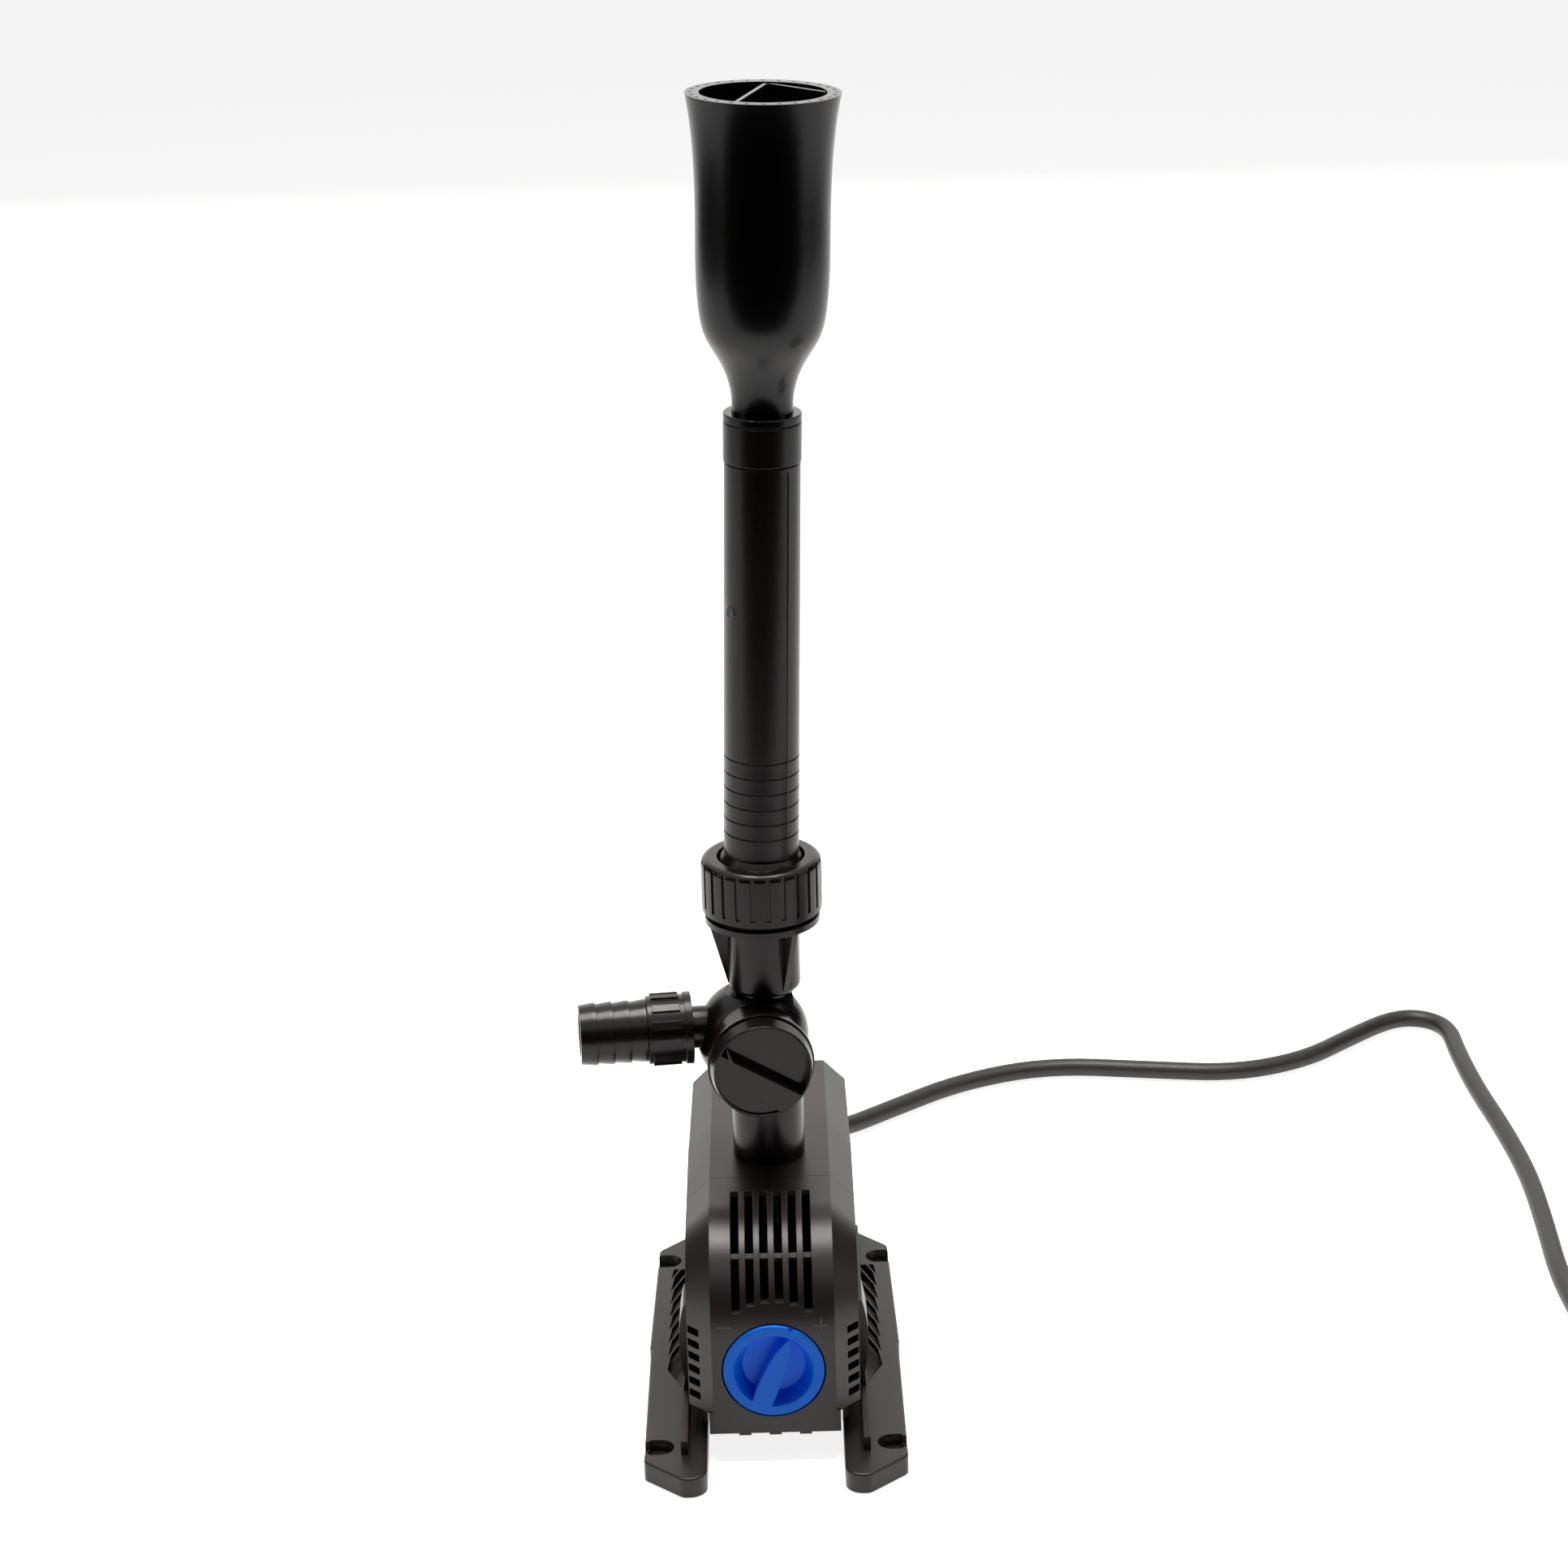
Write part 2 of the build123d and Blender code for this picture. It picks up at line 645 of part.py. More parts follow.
def stator_core():
    core = block((-LEG_X[1], LEG_X[1]), CORE_Y, YOKE_Z)
    leg = block(LEG_X, CORE_Y, (LEG_BOTTOM, YOKE_Z[0] + 1))
    leg += block((POLE_X, LEG_X[1]), CORE_Y, (LEG_BOTTOM, POLE_TOP))
    core += leg + mirrored(leg)
    return core - rod_y(WELL_R + WELL_WALL + 0.2, (CORE_Y[0] - 1, CORE_Y[1] + 1))


def stator_coil():
    """The right-hand coil, round the upper part of its leg."""
    inner = (LEG_X[0] - 0.2, LEG_X[1] + 0.2)
    y = (CORE_Y[0] - 0.2, CORE_Y[1] + 0.2)
    build = COIL_BUILD[0]
    coil = block((inner[0] - build, inner[1] + COIL_BUILD[1]), (y[0] - 4, y[1] + 4), COIL_Z)
    coil = fillet(coil.edges().filter_by(Axis.Z), 2.0)
    return coil - block(inner, y, (COIL_Z[0] - 1, COIL_Z[1] + 1))


def potting_resin():
    inset = CAN_INSET + CAN_WALL
    y = (can_front_y() + FLANGE_THICK + CAN_SOLID, CAN_BACK_Y - 1)
    resin = housing_prism(y, inset) - rod_y(WELL_R + WELL_WALL, (y[0] - 1, WELL_END_Y + 2))
    coil = stator_coil()
    for piece in (stator_core(), coil, mirrored(coil)):
        resin -= piece
    return resin


def rotor_shaft():
    return rod_y(SHAFT_R, SHAFT_Y)


def front_bush():
    y = (CHAMBER_FRONT_Y + 1.2, CHAMBER_FRONT_Y + 5.4)
    return rod_y(BUSH_R, y) - rod_y(SHAFT_R, (SHAFT_Y[0], y[1] + 1))


def rear_bush():
    y = (WELL_END_Y - 3.0, WELL_END_Y)
    return rod_y(WELL_R, y) - rod_y(SHAFT_R, (y[0] - 1, SHAFT_Y[1]))


def vane():
    """One curved vane, as seen from the front."""
    inside = ThreePointArc((4.5, -0.8), (11.2, 2.2), (16.0, 7.1))
    outside = ThreePointArc((4.5, 0.8), (10.6, 3.8), (14.9, 8.4))
    ends = [Line(inside @ 0, outside @ 0), Line(inside @ 1, outside @ 1)]
    return make_face([inside, outside] + ends)


def impeller():
    hub_r = SHAFT_R + 3.5
    front, disc = IMPELLER_Y
    wheel = rod_y(IMPELLER_R, (disc, disc + DISC_THICK)) + rod_y(hub_r, (front, disc + 1))
    wheel += rod_y(hub_r, (disc + DISC_THICK - 1, MAGNET_Y[0]))
    blade = extrude(vane(), amount=disc + 0.5 - front)
    for i in range(VANES):
        wheel += facing_front(Rot(Z=i * 360 / VANES) * blade, 0, disc + 0.5, AXIS_Z)
    return wheel - rod_y(SHAFT_R + RUN, (front - 1, MAGNET_Y[0] + 1))


def magnet_rotor():
    return rod_y(MAGNET_R, MAGNET_Y) - rod_y(SHAFT_R + RUN, (MAGNET_Y[0] - 1, MAGNET_Y[1] + 1))


# ---------------------------------------------------------------- base frame

def rail_outline():
    """Plan of the right rail."""
    slant = FOOT_SLANT
    return [
        (RAIL_INNER, RAIL_FRONT_Y), (FOOT_TIP_X, RAIL_FRONT_Y), (RAIL_FRONT_HALF, RAIL_FRONT_Y + slant),
        (RAIL_MID_HALF, RAIL_STEP_Y), (RAIL_MID_HALF + RAIL_STEP, RAIL_STEP_Y + 1.5),
        (RAIL_REAR_HALF, RAIL_REAR_Y - slant), (FOOT_TIP_X, RAIL_REAR_Y), (RAIL_INNER, RAIL_REAR_Y),
    ]


def rail_solid():
    rail = extrude(make_face(Polyline(*rail_outline(), close=True)), amount=RAIL_TOP)

    def upright_at(x, radius, solid):
        near = [e for e in solid.edges().filter_by(Axis.Z)
                if abs(e.center().X - x) < 0.6 and (e.center().Y < RAIL_FRONT_Y + 20 or e.center().Y > RAIL_REAR_Y - 20)]
        return fillet(near, radius)

    rail = upright_at(RAIL_INNER, 7.0, rail)
    rail = upright_at(FOOT_TIP_X, 4.0, rail)
    outer = [e for e in rail.edges().filter_by(Axis.Z)
             if e.center().X > RAIL_REAR_HALF - 0.5 and abs(e.center().Y - RAIL_STEP_Y) > 40]
    rail = fillet(outer, 4.0)
    top = rail.faces().sort_by(Axis.Z)[-1].edges()
    return fillet(top, 1.0)


def rail_hollow():
    """Space between the top plate and the bottom skin; only the louvres open into it."""
    y = (RAIL_FRONT_Y + 32, RAIL_REAR_Y - 34)
    return block((RAIL_INNER + RAIL_WALL, RAIL_MID_HALF - RAIL_WALL), y, (RAIL_SKIN, RAIL_TOP - PLATE))


def notch_cuts():
    cuts = []
    for side in (-1, 1):
        y = NOTCH_CENTRE_Y + side * NOTCH_HALF_SPAN
        half = NOTCH_WIDTH / 2
        centre_x = NOTCH_INNER_X + half
        z = (NOTCH_FLOOR, RAIL_TOP + 1)
        pocket = rod_z(half, z, centre_x, y)
        pocket += block((centre_x, RAIL_MID_HALF - NOTCH_LIP), (y - half, y + half), z)
        mouth = block((centre_x, RAIL_FRONT_HALF + 2), (y - half + 1, y + half - 1), (RAIL_TOP - 3.6, RAIL_TOP + 1))
        length, width = BOLT_SLOT
        straight = (length - width) / 2
        slot = block((BOLT_X - straight, BOLT_X + straight), (y - width / 2, y + width / 2), (-1, 5))
        slot += rod_z(width / 2, (-1, 5), BOLT_X - straight, y) + rod_z(width / 2, (-1, 5), BOLT_X + straight, y)
        cuts += [pocket, mouth, slot]
    return cuts


def louvre_cuts():
    """Slanting louvres between the side wall and the saw-tooth line; the first ends in an arrow."""
    inner = SIDE_WALL_X[1] + 0.3
    run = (LOUVRE_TIP_X - inner) * LOUVRE_SLOPE
    limit = block((inner - 1, LOUVRE_TIP_X + 1), (ARROW_Y - 1, LOUVRE_END_Y), (-1, RAIL_TOP + 1))
    cuts = []
    for i in range(LOUVRES):
        y = LOUVRE_FIRST_Y + i * LOUVRE_PITCH
        front = ARROW_Y if i == 0 else y + run
        rear = y + LOUVRE_OPEN
        points = [(LOUVRE_TIP_X, y), (LOUVRE_STEP_X, rear + (LOUVRE_TIP_X - LOUVRE_STEP_X) * LOUVRE_SLOPE),
                  (inner, rear + run), (inner, front)]
        face = make_face(Polyline(*points, close=True))
        cuts.append((Pos(0, 0, RAIL_TOP - PLATE - 1) * extrude(face, amount=PLATE + 2)) & limit)
    return cuts


def clip_seat_cuts():
    """Gap in the side wall for the clip's foot, and the bores for its pin."""
    x, z = CLIP_PIVOT
    low = z - CLIP_FOOT_R - GAP
    cuts = [block((SIDE_WALL_X[0] - 1, SIDE_WALL_X[1] + 1), (CLIP_Y[0] - GAP, CLIP_Y[1] + GAP), (low, SIDE_WALL_TOP + 1))]
    cuts.append(rod_y(CLIP_PIN_R + RUN, (CLIP_Y[0] - 4, CLIP_Y[1] + 4), x, z))
    return cuts


def rail():
    body = rail_solid() - rail_hollow()
    for cut in notch_cuts() + louvre_cuts():
        body -= cut
    body += block(SIDE_WALL_X, SIDE_WALL_Y, (RAIL_TOP - 1, SIDE_WALL_TOP))
    body += block(LEDGE_X, LEDGE_Y, (RAIL_TOP - 1, SHOULDER_Z - GAP))
    for cut in clip_seat_cuts():
        body -= cut
    return body


def base_frame():
    right = rail()
    frame = right + mirrored(right)
    for y in CROSS_Y:
        frame += block((-LEDGE_X[1], LEDGE_X[1]), y, CROSS_Z)
    frame += block((-PAD, PAD), CROSS_Y[1], (0, CROSS_Z[1]))
    for x in (-BASE_SCREW_X, BASE_SCREW_X):
        for y in BASE_SCREW_Y:
            frame += rod_z(SCREW_HEAD_R + 1, (CROSS_Z[0], BOSS_TOP), x, y)
            frame -= rod_z(SCREW_R + THREAD, (0, 30), x, y)
    return frame


def base_screws():
    low = CROSS_Z[0]
    return [rod_z(SCREW_HEAD_R, (low - SCREW_HEAD, low), x, y) + rod_z(SCREW_R, (low, BASE_SCREW_TOP), x, y)
            for x in (-BASE_SCREW_X, BASE_SCREW_X) for y in BASE_SCREW_Y]


def side_clip():
    """Right-hand clip: a springy arm on a pin, bulged near its top."""
    x, z = CLIP_PIVOT
    inner = BODY_HALF + GAP + 0.1
    y = (CLIP_Y[0], CLIP_Y[1])
    middle = (z + CLIP_TOP) / 2 + 6
    outline = [
        Line((x - 0.4, z), (inner, z + 6)),
        Line((inner, z + 6), (inner, CLIP_TOP)),
        Line((inner, CLIP_TOP), (inner + CLIP_THICK * 0.7, CLIP_TOP)),
        ThreePointArc((inner + CLIP_THICK * 0.7, CLIP_TOP), (inner + CLIP_THICK + CLIP_BULGE, middle),
                      (inner + CLIP_THICK, z + 8)),
        Line((inner + CLIP_THICK, z + 8), (x + 1.2, z)),
        Line((x + 1.2, z), (x - 0.4, z)),
    ]
    arm = extrude(Plane.XZ.offset(-y[0]) * make_face(outline), amount=y[1] - y[0], dir=(0, 1, 0))
    arm += rod_y(CLIP_FOOT_R, y, x, z)
    return arm + rod_y(CLIP_PIN_R, (y[0] - 3.5, y[1] + 3.5), x, z)


# ---------------------------------------------------------------- T-piece

def at_yaw(shape):
    return Rot(Z=YAW) * shape


def valve_rod(radius, y):
    return rod_y(radius, y, VALVE_X, VALVE_Z)


def diverter_body():
    low = BODY_TOP + GAP
    body = rod_z(SLEEVE_R, (low, VALVE_Z))
    body += Pos(VALVE_X, 0, VALVE_BALL_Z) * Sphere(VALVE_BALL_R)
    body += valve_rod(VALVE_DRUM_R, (VALVE_FACE_Y + VALVE_RING_THICK / 2, 0))
    body += valve_rod(VALVE_RIM[0], (VALVE_FACE_Y + VALVE_RING_THICK / 2, VALVE_FACE_Y + VALVE_RIM[1]))
    body += valve_rod(VALVE_RING_R, (VALVE_FACE_Y, VALVE_FACE_Y + VALVE_RING_THICK))
    body -= rod_z(VALVE_BALL_R, (NECK_LOW, NECK_TOP))
    body += rod_z(NECK_R, (VALVE_Z, NECK_TOP))
    body += block((4.0, 10.5), (-10.0, -4.0), (VALVE_Z, NECK_LOW))
    body += rod_x(ARM_R, (VALVE_X, ARM_X[0]), 0, ARM_Z)
    body += rod_x(ARM_THREAD_R, ARM_X, 0, ARM_Z)
    body -= rod_z(SPIGOT_R + RUN, (low - 1, SPIGOT_TOP + GAP))
    body -= rod_z(PORT_R, (SPIGOT_TOP - 1, NECK_TOP + 1))
    body -= rod_x(ARM_BORE_R, (VALVE_X, ARM_X[1] - 1), 0, ARM_Z)
    body -= valve_rod(SPOOL_R + RUN, (VALVE_FACE_Y - 1, SPOOL_Y[1] + GAP))
    return body - valve_rod(COVER_R, (VALVE_FACE_Y - 1, VALVE_FACE_Y + COVER_THICK + GAP))


def valve_cover():
    """Screwed disc that keeps the spool in; the knob's stem passes through it."""
    y = (VALVE_FACE_Y + GAP, VALVE_FACE_Y + GAP + COVER_THICK)
    return valve_rod(COVER_R, y) - valve_rod(KNOB_STEM_R + RUN, (y[0] - 1, y[1] + 1))


def valve_spool():
    """Drum with a straight port upwards and a branch to the side arm."""
    spool = valve_rod(SPOOL_R, SPOOL_Y)
    spool -= rod_z(PORT_R, (VALVE_Z - 20, VALVE_Z + 20))
    spool -= rod_x(ARM_BORE_R, (VALVE_X - 20, 0), 0, ARM_Z)
    spool -= valve_rod(KNOB_STEM_R, (SPOOL_Y[0] - 1, SPOOL_Y[0] + KNOB_STEM))
    groove = (SPOOL_Y[0] + 2.0, SPOOL_Y[0] + 4.0)
    return spool - (valve_rod(SPOOL_R + 1, groove) - valve_rod(SPOOL_R - 1.7, (groove[0] - 1, groove[1] + 1)))


def spool_seal():
    ring = Rot(X=90) * Torus(SPOOL_R - 0.9, 0.8)
    return Pos(VALVE_X, SPOOL_Y[0] + 3.0, VALVE_Z) * ring


def knob_grip():
    """Leaf grip from its tip at the upper left to its wide end at the lower right."""
    start, end = KNOB_EDGE
    tip = (-14.2, 11.6)
    low = Spline(tip, (-9.9, -1.9), (-4.2, -9.1), (1.5, -14.8), (7.2, -17.9))
    rim = ThreePointArc(end, (12.0, -15.1), low @ 1)
    return make_face([Line(tip, start), Line(start, end), rim, low])


def beyond_edge(ramp, depth, side):
    """Space on one side of the grip's straight edge, its wall sloping in by ramp at the depth."""
    start, end = Vector(*KNOB_EDGE[0]), Vector(*KNOB_EDGE[1])
    along = (end - start).normalized()
    across = Vector(-along.Y, along.X) * side
    reach = 2 * KNOB_R
    outline = Polyline((0, 1), (0, 0), (ramp, -depth), (reach, -depth), (reach, 1), close=True)
    plane = Plane(origin=(start + end) * 0.5, x_dir=across, z_dir=across.cross(Vector(0, 0, 1)))
    return extrude(plane * make_face(outline), amount=reach, both=True)


def diverter_knob():
    back, face = -KNOB_THICK, 0.0
    body = turned([(0, back), (KNOB_R, back), (KNOB_R, back + 1.2), (KNOB_FACE_R, face), (0, face)])
    body = fillet(body.faces().sort_by(Axis.Z)[-1].edges(), 0.6)
    grip = extrude(knob_grip(), amount=KNOB_THICK, both=True)
    mouth = Cylinder(KNOB_MOUTH_R, 4 * KNOB_THICK)
    body -= (mouth & beyond_edge(KNOB_RAMP, KNOB_RECESS, 1)) - grip
    body -= (mouth & beyond_edge(0, KNOB_STEP, -1)) - grip
    stem = VALVE_FACE_Y - GAP - KNOB_THICK - SPOOL_Y[0] - KNOB_STEM
    body += Pos(0, 0, (stem + back + 1) / 2) * Cylinder(KNOB_STEM_R, back + 1 - stem)
    return facing_front(body, VALVE_X, VALVE_FACE_Y - GAP - KNOB_THICK, VALVE_Z)


def riser_socket():
    """Ribbed socket screwed on the neck, with the flange and thread for the union nut."""
    low, flange = SOCKET_Z, SOCKET_FLANGE_Z
    foot = low + 1.3
    body = rod_z(SOCKET_R, (foot, flange[0] + 1))
    body = fillet(body.faces().sort_by(Axis.Z)[0].edges(), SOCKET_SHOULDER)
    body += rod_z(SOCKET_R - SOCKET_SHOULDER, (low, foot + 1))
    rib = Plane.XZ * make_face(Polyline((SOCKET_R - 2, low + 4), (SOCKET_R + 0.2, low + 4),
                                        (SOCKET_FLANGE_R - 1, flange[0] + 0.5), (SOCKET_R - 2, flange[0] + 0.5),
                                        close=True))
    for i in range(SOCKET_RIBS):
        body += Rot(Z=180 + i * 360 / SOCKET_RIBS) * extrude(rib, amount=1.3, both=True)
    body += rod_z(SOCKET_FLANGE_R, flange)
    body += rod_z(SOCKET_THREAD_R, (flange[1] - 1, SOCKET_THREAD_TOP))
    body -= rod_z(NECK_R, (low - 1, NECK_TOP + GAP))
    body -= rod_z(PORT_R, (low, SOCKET_THREAD_TOP + 1))
    body -= rod_z(SEAT_RING_R[1] + GAP, (SEAT_RING_Z - GAP, SOCKET_THREAD_TOP))
    body -= Pos(0, 0, BALL_Z) * Sphere(BALL_R + GAP)
    return body


def ball_seat():
    """Ring under the ball; it turns with the riser."""
    ring = rod_z(SEAT_RING_R[1], (SEAT_RING_Z, BALL_Z)) - rod_z(SEAT_RING_R[0], (SEAT_RING_Z - 1, BALL_Z + 1))
    return ring - Pos(0, 0, BALL_Z) * Sphere(BALL_R + GAP)


def riser_nut():
    low, high = NUT_Z
    nut = rod_z(NUT_R, NUT_Z)
    nut = fillet(nut.faces().sort_by(Axis.Z)[-1].edges(), NUT_ROUND)
    nut -= rod_z(SOCKET_THREAD_R + GAP, (low - 1, SOCKET_THREAD_TOP + GAP))
    nut -= Pos(0, 0, BALL_Z) * Sphere(BALL_R + GAP)
    nut -= rod_z(NUT_HOLE_R, (BALL_Z, high + 1))
    for i in range(NUT_GROOVES):
        nut -= Rot(Z=i * 360 / NUT_GROOVES) * block((NUT_R - 0.8, NUT_R + 1), (-0.9, 0.9), (low + 2.5, high - 1))
    return nut


def side_nut():
    inner, outer = SIDE_NUT_X
    length, width, height = SIDE_NUT_BAR
    flange = 3.0
    nut = rod_x(SIDE_NUT_R - height, SIDE_NUT_X, 0, ARM_Z)
    nut += rod_x(SIDE_NUT_R, (inner - flange, inner), 0, ARM_Z)
    middle = (inner - flange + outer) / 2
    bar = block((middle - length / 2, middle + length / 2), (-width / 2, width / 2), (SIDE_NUT_R - 3, SIDE_NUT_R))
    for i in range(SIDE_NUT_BARS):
        nut += Pos(0, 0, ARM_Z) * Rot(X=i * 360 / SIDE_NUT_BARS) * bar
    nut -= rod_x(ARM_THREAD_R + GAP, (inner + 1, outer + NUT_LIP), 0, ARM_Z)
    return nut - rod_x(BARB_SEAT_R + GAP, (inner, outer - 1), 0, ARM_Z)


def hose_barb():
    """Barb with its clamping flange, drawn along Z from the arm outwards."""
    start = -ARM_X[1] + SEAL_THICK
    lip = -SIDE_NUT_X[1] - NUT_LIP - GAP
    root = -SIDE_NUT_X[1] + GAP
    end = -BARB_END_X
    tooth = (end - root) / BARB_TEETH
    points = [(BARB_BORE_R, start), (ARM_THREAD_R - 0.2, start), (ARM_THREAD_R - 0.2, lip), (BARB_SEAT_R, lip),
              (BARB_SEAT_R, root)]
    for i in range(BARB_TEETH):
        points.append((BARB_R, root + i * tooth))
        points.append((BARB_R, root + i * tooth + BARB_LAND))
        points.append((BARB_ROOT_R, root + (i + 1) * tooth))
    points.append((BARB_BORE_R, end))
    return Pos(0, 0, ARM_Z) * Rot(Y=-90) * turned(points)


def side_gasket():
    x = (ARM_X[1], ARM_X[1] - SEAL_THICK)
    return rod_x(ARM_THREAD_R - 0.3, x, 0, ARM_Z) - rod_x(BARB_BORE_R, (x[0] + 1, x[1] - 1), 0, ARM_Z)


# ---------------------------------------------------------------- riser and nozzle

def leaned(shape):
    """Lean about the ball's centre, as the riser stands."""
    return Pos(0, 0, BALL_Z) * Rot(Y=LEAN) * Pos(0, 0, -BALL_Z) * shape


def riser_radius(z):
    share = (z - BALL_Z) / (RISER_TOP - BALL_Z)
    return RISER_FOOT_R + (RISER_TOP_R - RISER_FOOT_R) * share


def riser_tube():
    outline = [(RISER_BORE_R, BALL_Z), (riser_radius(BALL_Z), BALL_Z)]
    width, depth = RING_CUT
    for i in range(RING_COUNT):
        z = RING_FIRST_Z + i * RING_PITCH
        r = riser_radius(z)
        outline += [(r, z - width / 2), (r - depth, z - width / 4), (r - depth, z + width / 4), (r, z + width / 2)]
    outline += [(RISER_TOP_R, RISER_TOP - 0.4), (RISER_TOP_R - 0.4, RISER_TOP), (RISER_SPIGOT_R, RISER_TOP),
                (RISER_SPIGOT_R, RISER_TOP + RISER_SPIGOT), (RISER_BORE_R, RISER_TOP + RISER_SPIGOT)]
    tube = turned(outline)
    ball = Pos(0, 0, BALL_Z) * Sphere(BALL_R)
    ball -= block((-30, 30), (-30, 30), (BALL_Z - 30, BALL_BOTTOM))
    ball -= rod_z(RISER_BORE_R, (BALL_Z - 30, BALL_Z + 30))
    tube += ball
    r = riser_radius(BUTTON_Z)
    button = Pos(0, 0, BUTTON_Z) * Rot(Z=BUTTON_TURN) * rod_x(BUTTON_R, (r - 1.5, r + 0.15))
    seam = Rot(Z=-48) * block((RISER_TOP_R - 0.5, RISER_FOOT_R + 0.12), (-0.15, 0.15), (BALL_Z + 18, RISER_TOP - 2))
    return leaned(tube + button + seam)


def riser_collar():
    low = RISER_TOP + GAP
    web = RISER_TOP + RISER_SPIGOT + GAP
    collar = turned([
        (RISER_SPIGOT_R + RUN, low), (COLLAR_R - 0.3, low), (COLLAR_R, low + 0.3), (COLLAR_R, COLLAR_TOP - 0.3),
        (COLLAR_R - 0.3, COLLAR_TOP), (STEM_SPIGOT_R + RUN, COLLAR_TOP), (STEM_SPIGOT_R + RUN, web),
        (RISER_SPIGOT_R + RUN, web),
    ])
    return leaned(collar)


def nozzle_stem():
    """Plug of the nozzle: a flange on the collar and a spigot inside the riser."""
    low = COLLAR_TOP + GAP
    bore = STEM_SPIGOT_R - 2.2
    stem = turned([
        (bore, STEM_LOW), (STEM_SPIGOT_R, STEM_LOW), (STEM_SPIGOT_R, low), (COLLAR_R - 0.3, low),
        (COLLAR_R, low + 0.3), (COLLAR_R, STEM_TOP - 0.4), (COLLAR_R - 0.4, STEM_TOP), (bore, STEM_TOP),
    ])
    groove = rod_z(STEM_SPIGOT_R + 1, (STEM_LOW + 2, STEM_LOW + 4)) - rod_z(STEM_SPIGOT_R - 1.4, (0, 500))
    return leaned(stem - groove)


def stem_seal():
    return leaned(ring_about(STEM_SPIGOT_R - 0.55, 0.75, STEM_LOW + 3))


def nozzle_line(inset):
    """Smooth outer or inner line of the nozzle wall, from the neck to the rim."""
    return Spline(*[(r - inset, z) for r, z in NOZZLE_PROFILE])


def nozzle_shell():
    low, top = NOZZLE_PROFILE[0][1], NOZZLE_TOP
    outer = nozzle_line(0)
    inner = nozzle_line(NOZZLE_WALL)
    caps = [Line(outer @ 0, inner @ 0), Line(outer @ 1, inner @ 1)]
    shell = revolve(Plane.XZ * make_face([outer, inner] + caps), Axis.Z)
    return leaned(shell)


def insert_radius():
    return NOZZLE_PROFILE[-1][0] - NOZZLE_WALL - RUN


def nozzle_insert():
    """Inner cup with the rim; notches round the rim leave the ring of jets."""
    rim_r = insert_radius() - 0.5
    top, low = NOZZLE_TOP, NOZZLE_TOP - RIM_THICK
    cup_r = NOZZLE_MOUTH_R + INSERT_WALL
    points = [
        (0, INSERT_FLOOR_Z), (INSERT_FLOOR_R, INSERT_FLOOR_Z), (cup_r, low - 6), (cup_r, low),
        (rim_r, low), (rim_r + 0.45, top), (NOZZLE_MOUTH_R, top), (NOZZLE_MOUTH_R, low - 6),
        (INSERT_FLOOR_R - INSERT_WALL, INSERT_FLOOR_Z + INSERT_WALL), (0, INSERT_FLOOR_Z + INSERT_WALL),
    ]
    cup = turned(points)
    for i in range(JETS):
        cup -= Rot(Z=i * 360 / JETS) * rod_z(JET_R, (low - 1, top + 1), rim_r - 0.2)
    return leaned(cup)


def nozzle_vane():
    """Divider in the mouth: two upright walls that meet at the back."""
    reach = NOZZLE_MOUTH_R - GAP
    z = (VANE_BOTTOM, NOZZLE_TOP - 0.4)
    turns = (87.0, 244.0, 8.0)
    hub, left, right = [(reach * cos(radians(t)), reach * sin(radians(t))) for t in turns]
    walls = None
    for end in (left, right):
        length = hypot(end[0] - hub[0], end[1] - hub[1])
        angle = degrees(atan2(end[1] - hub[1], end[0] - hub[0]))
        wall = Pos(hub[0], hub[1], 0) * Rot(Z=angle) * block((-2, length + 2), (-VANE_WALL / 2, VANE_WALL / 2), z)
        walls = wall if walls is None else walls + wall
    cup_line = turned([(0, z[0] - 1), (mouth_radius(z[0]) - GAP, z[0] - 1), (mouth_radius(z[0]) - GAP, z[0]),
                       (NOZZLE_MOUTH_R - GAP, NOZZLE_TOP - RIM_THICK - 6), (NOZZLE_MOUTH_R - GAP, z[1] + 1), (0, z[1] + 1)])
    return leaned(walls & cup_line)


def mouth_radius(z):
    """Inner radius of the insert's cup at a height below its straight mouth."""
    low, high = INSERT_FLOOR_Z, NOZZLE_TOP - RIM_THICK - 6
    share = (z - low) / (high - low)
    return INSERT_FLOOR_R - INSERT_WALL + (NOZZLE_MOUTH_R - INSERT_FLOOR_R + INSERT_WALL) * share


# ---------------------------------------------------------------- cord

def cord_gland_r():
    return CORD_D / 2 + 2.6


def cord_gland():
    """Screwed gland through the rear wall, with a hexagon outside and a flange inside."""
    r = cord_gland_r()
    body = rod_y(r, (REAR_Y - 9, REAR_Y + 1), GLAND_X, GLAND_Z)
    body += rod_y(r + 2.2, (REAR_Y - WALL - GAP - 2.4, REAR_Y - WALL - GAP), GLAND_X, GLAND_Z)
    hexagon = extrude(RegularPolygon(r + 3.2, 6), amount=8)
    body += Pos(GLAND_X, REAR_Y + GAP, GLAND_Z) * Rot(X=-90) * hexagon
    return body


def strain_relief():
    """Tapered rubber sleeve with ring grooves."""
    start = REAR_Y + GAP + 8
    length = RELIEF_END_Y - start
    foot, tip = cord_gland_r() + 0.2, CORD_D / 2 + 1.0
    sleeve = turned([(0, 0), (foot, 0), (foot, 3), (tip, length), (0, length)])
    for i in range(4):
        z = 6 + i * 4.6
        r = foot + (tip - foot) * (z - 3) / (length - 3)
        sleeve -= ring_about(r + 0.5, 1.0, z)
    return Pos(GLAND_X, start, GLAND_Z) * Rot(X=-90) * sleeve


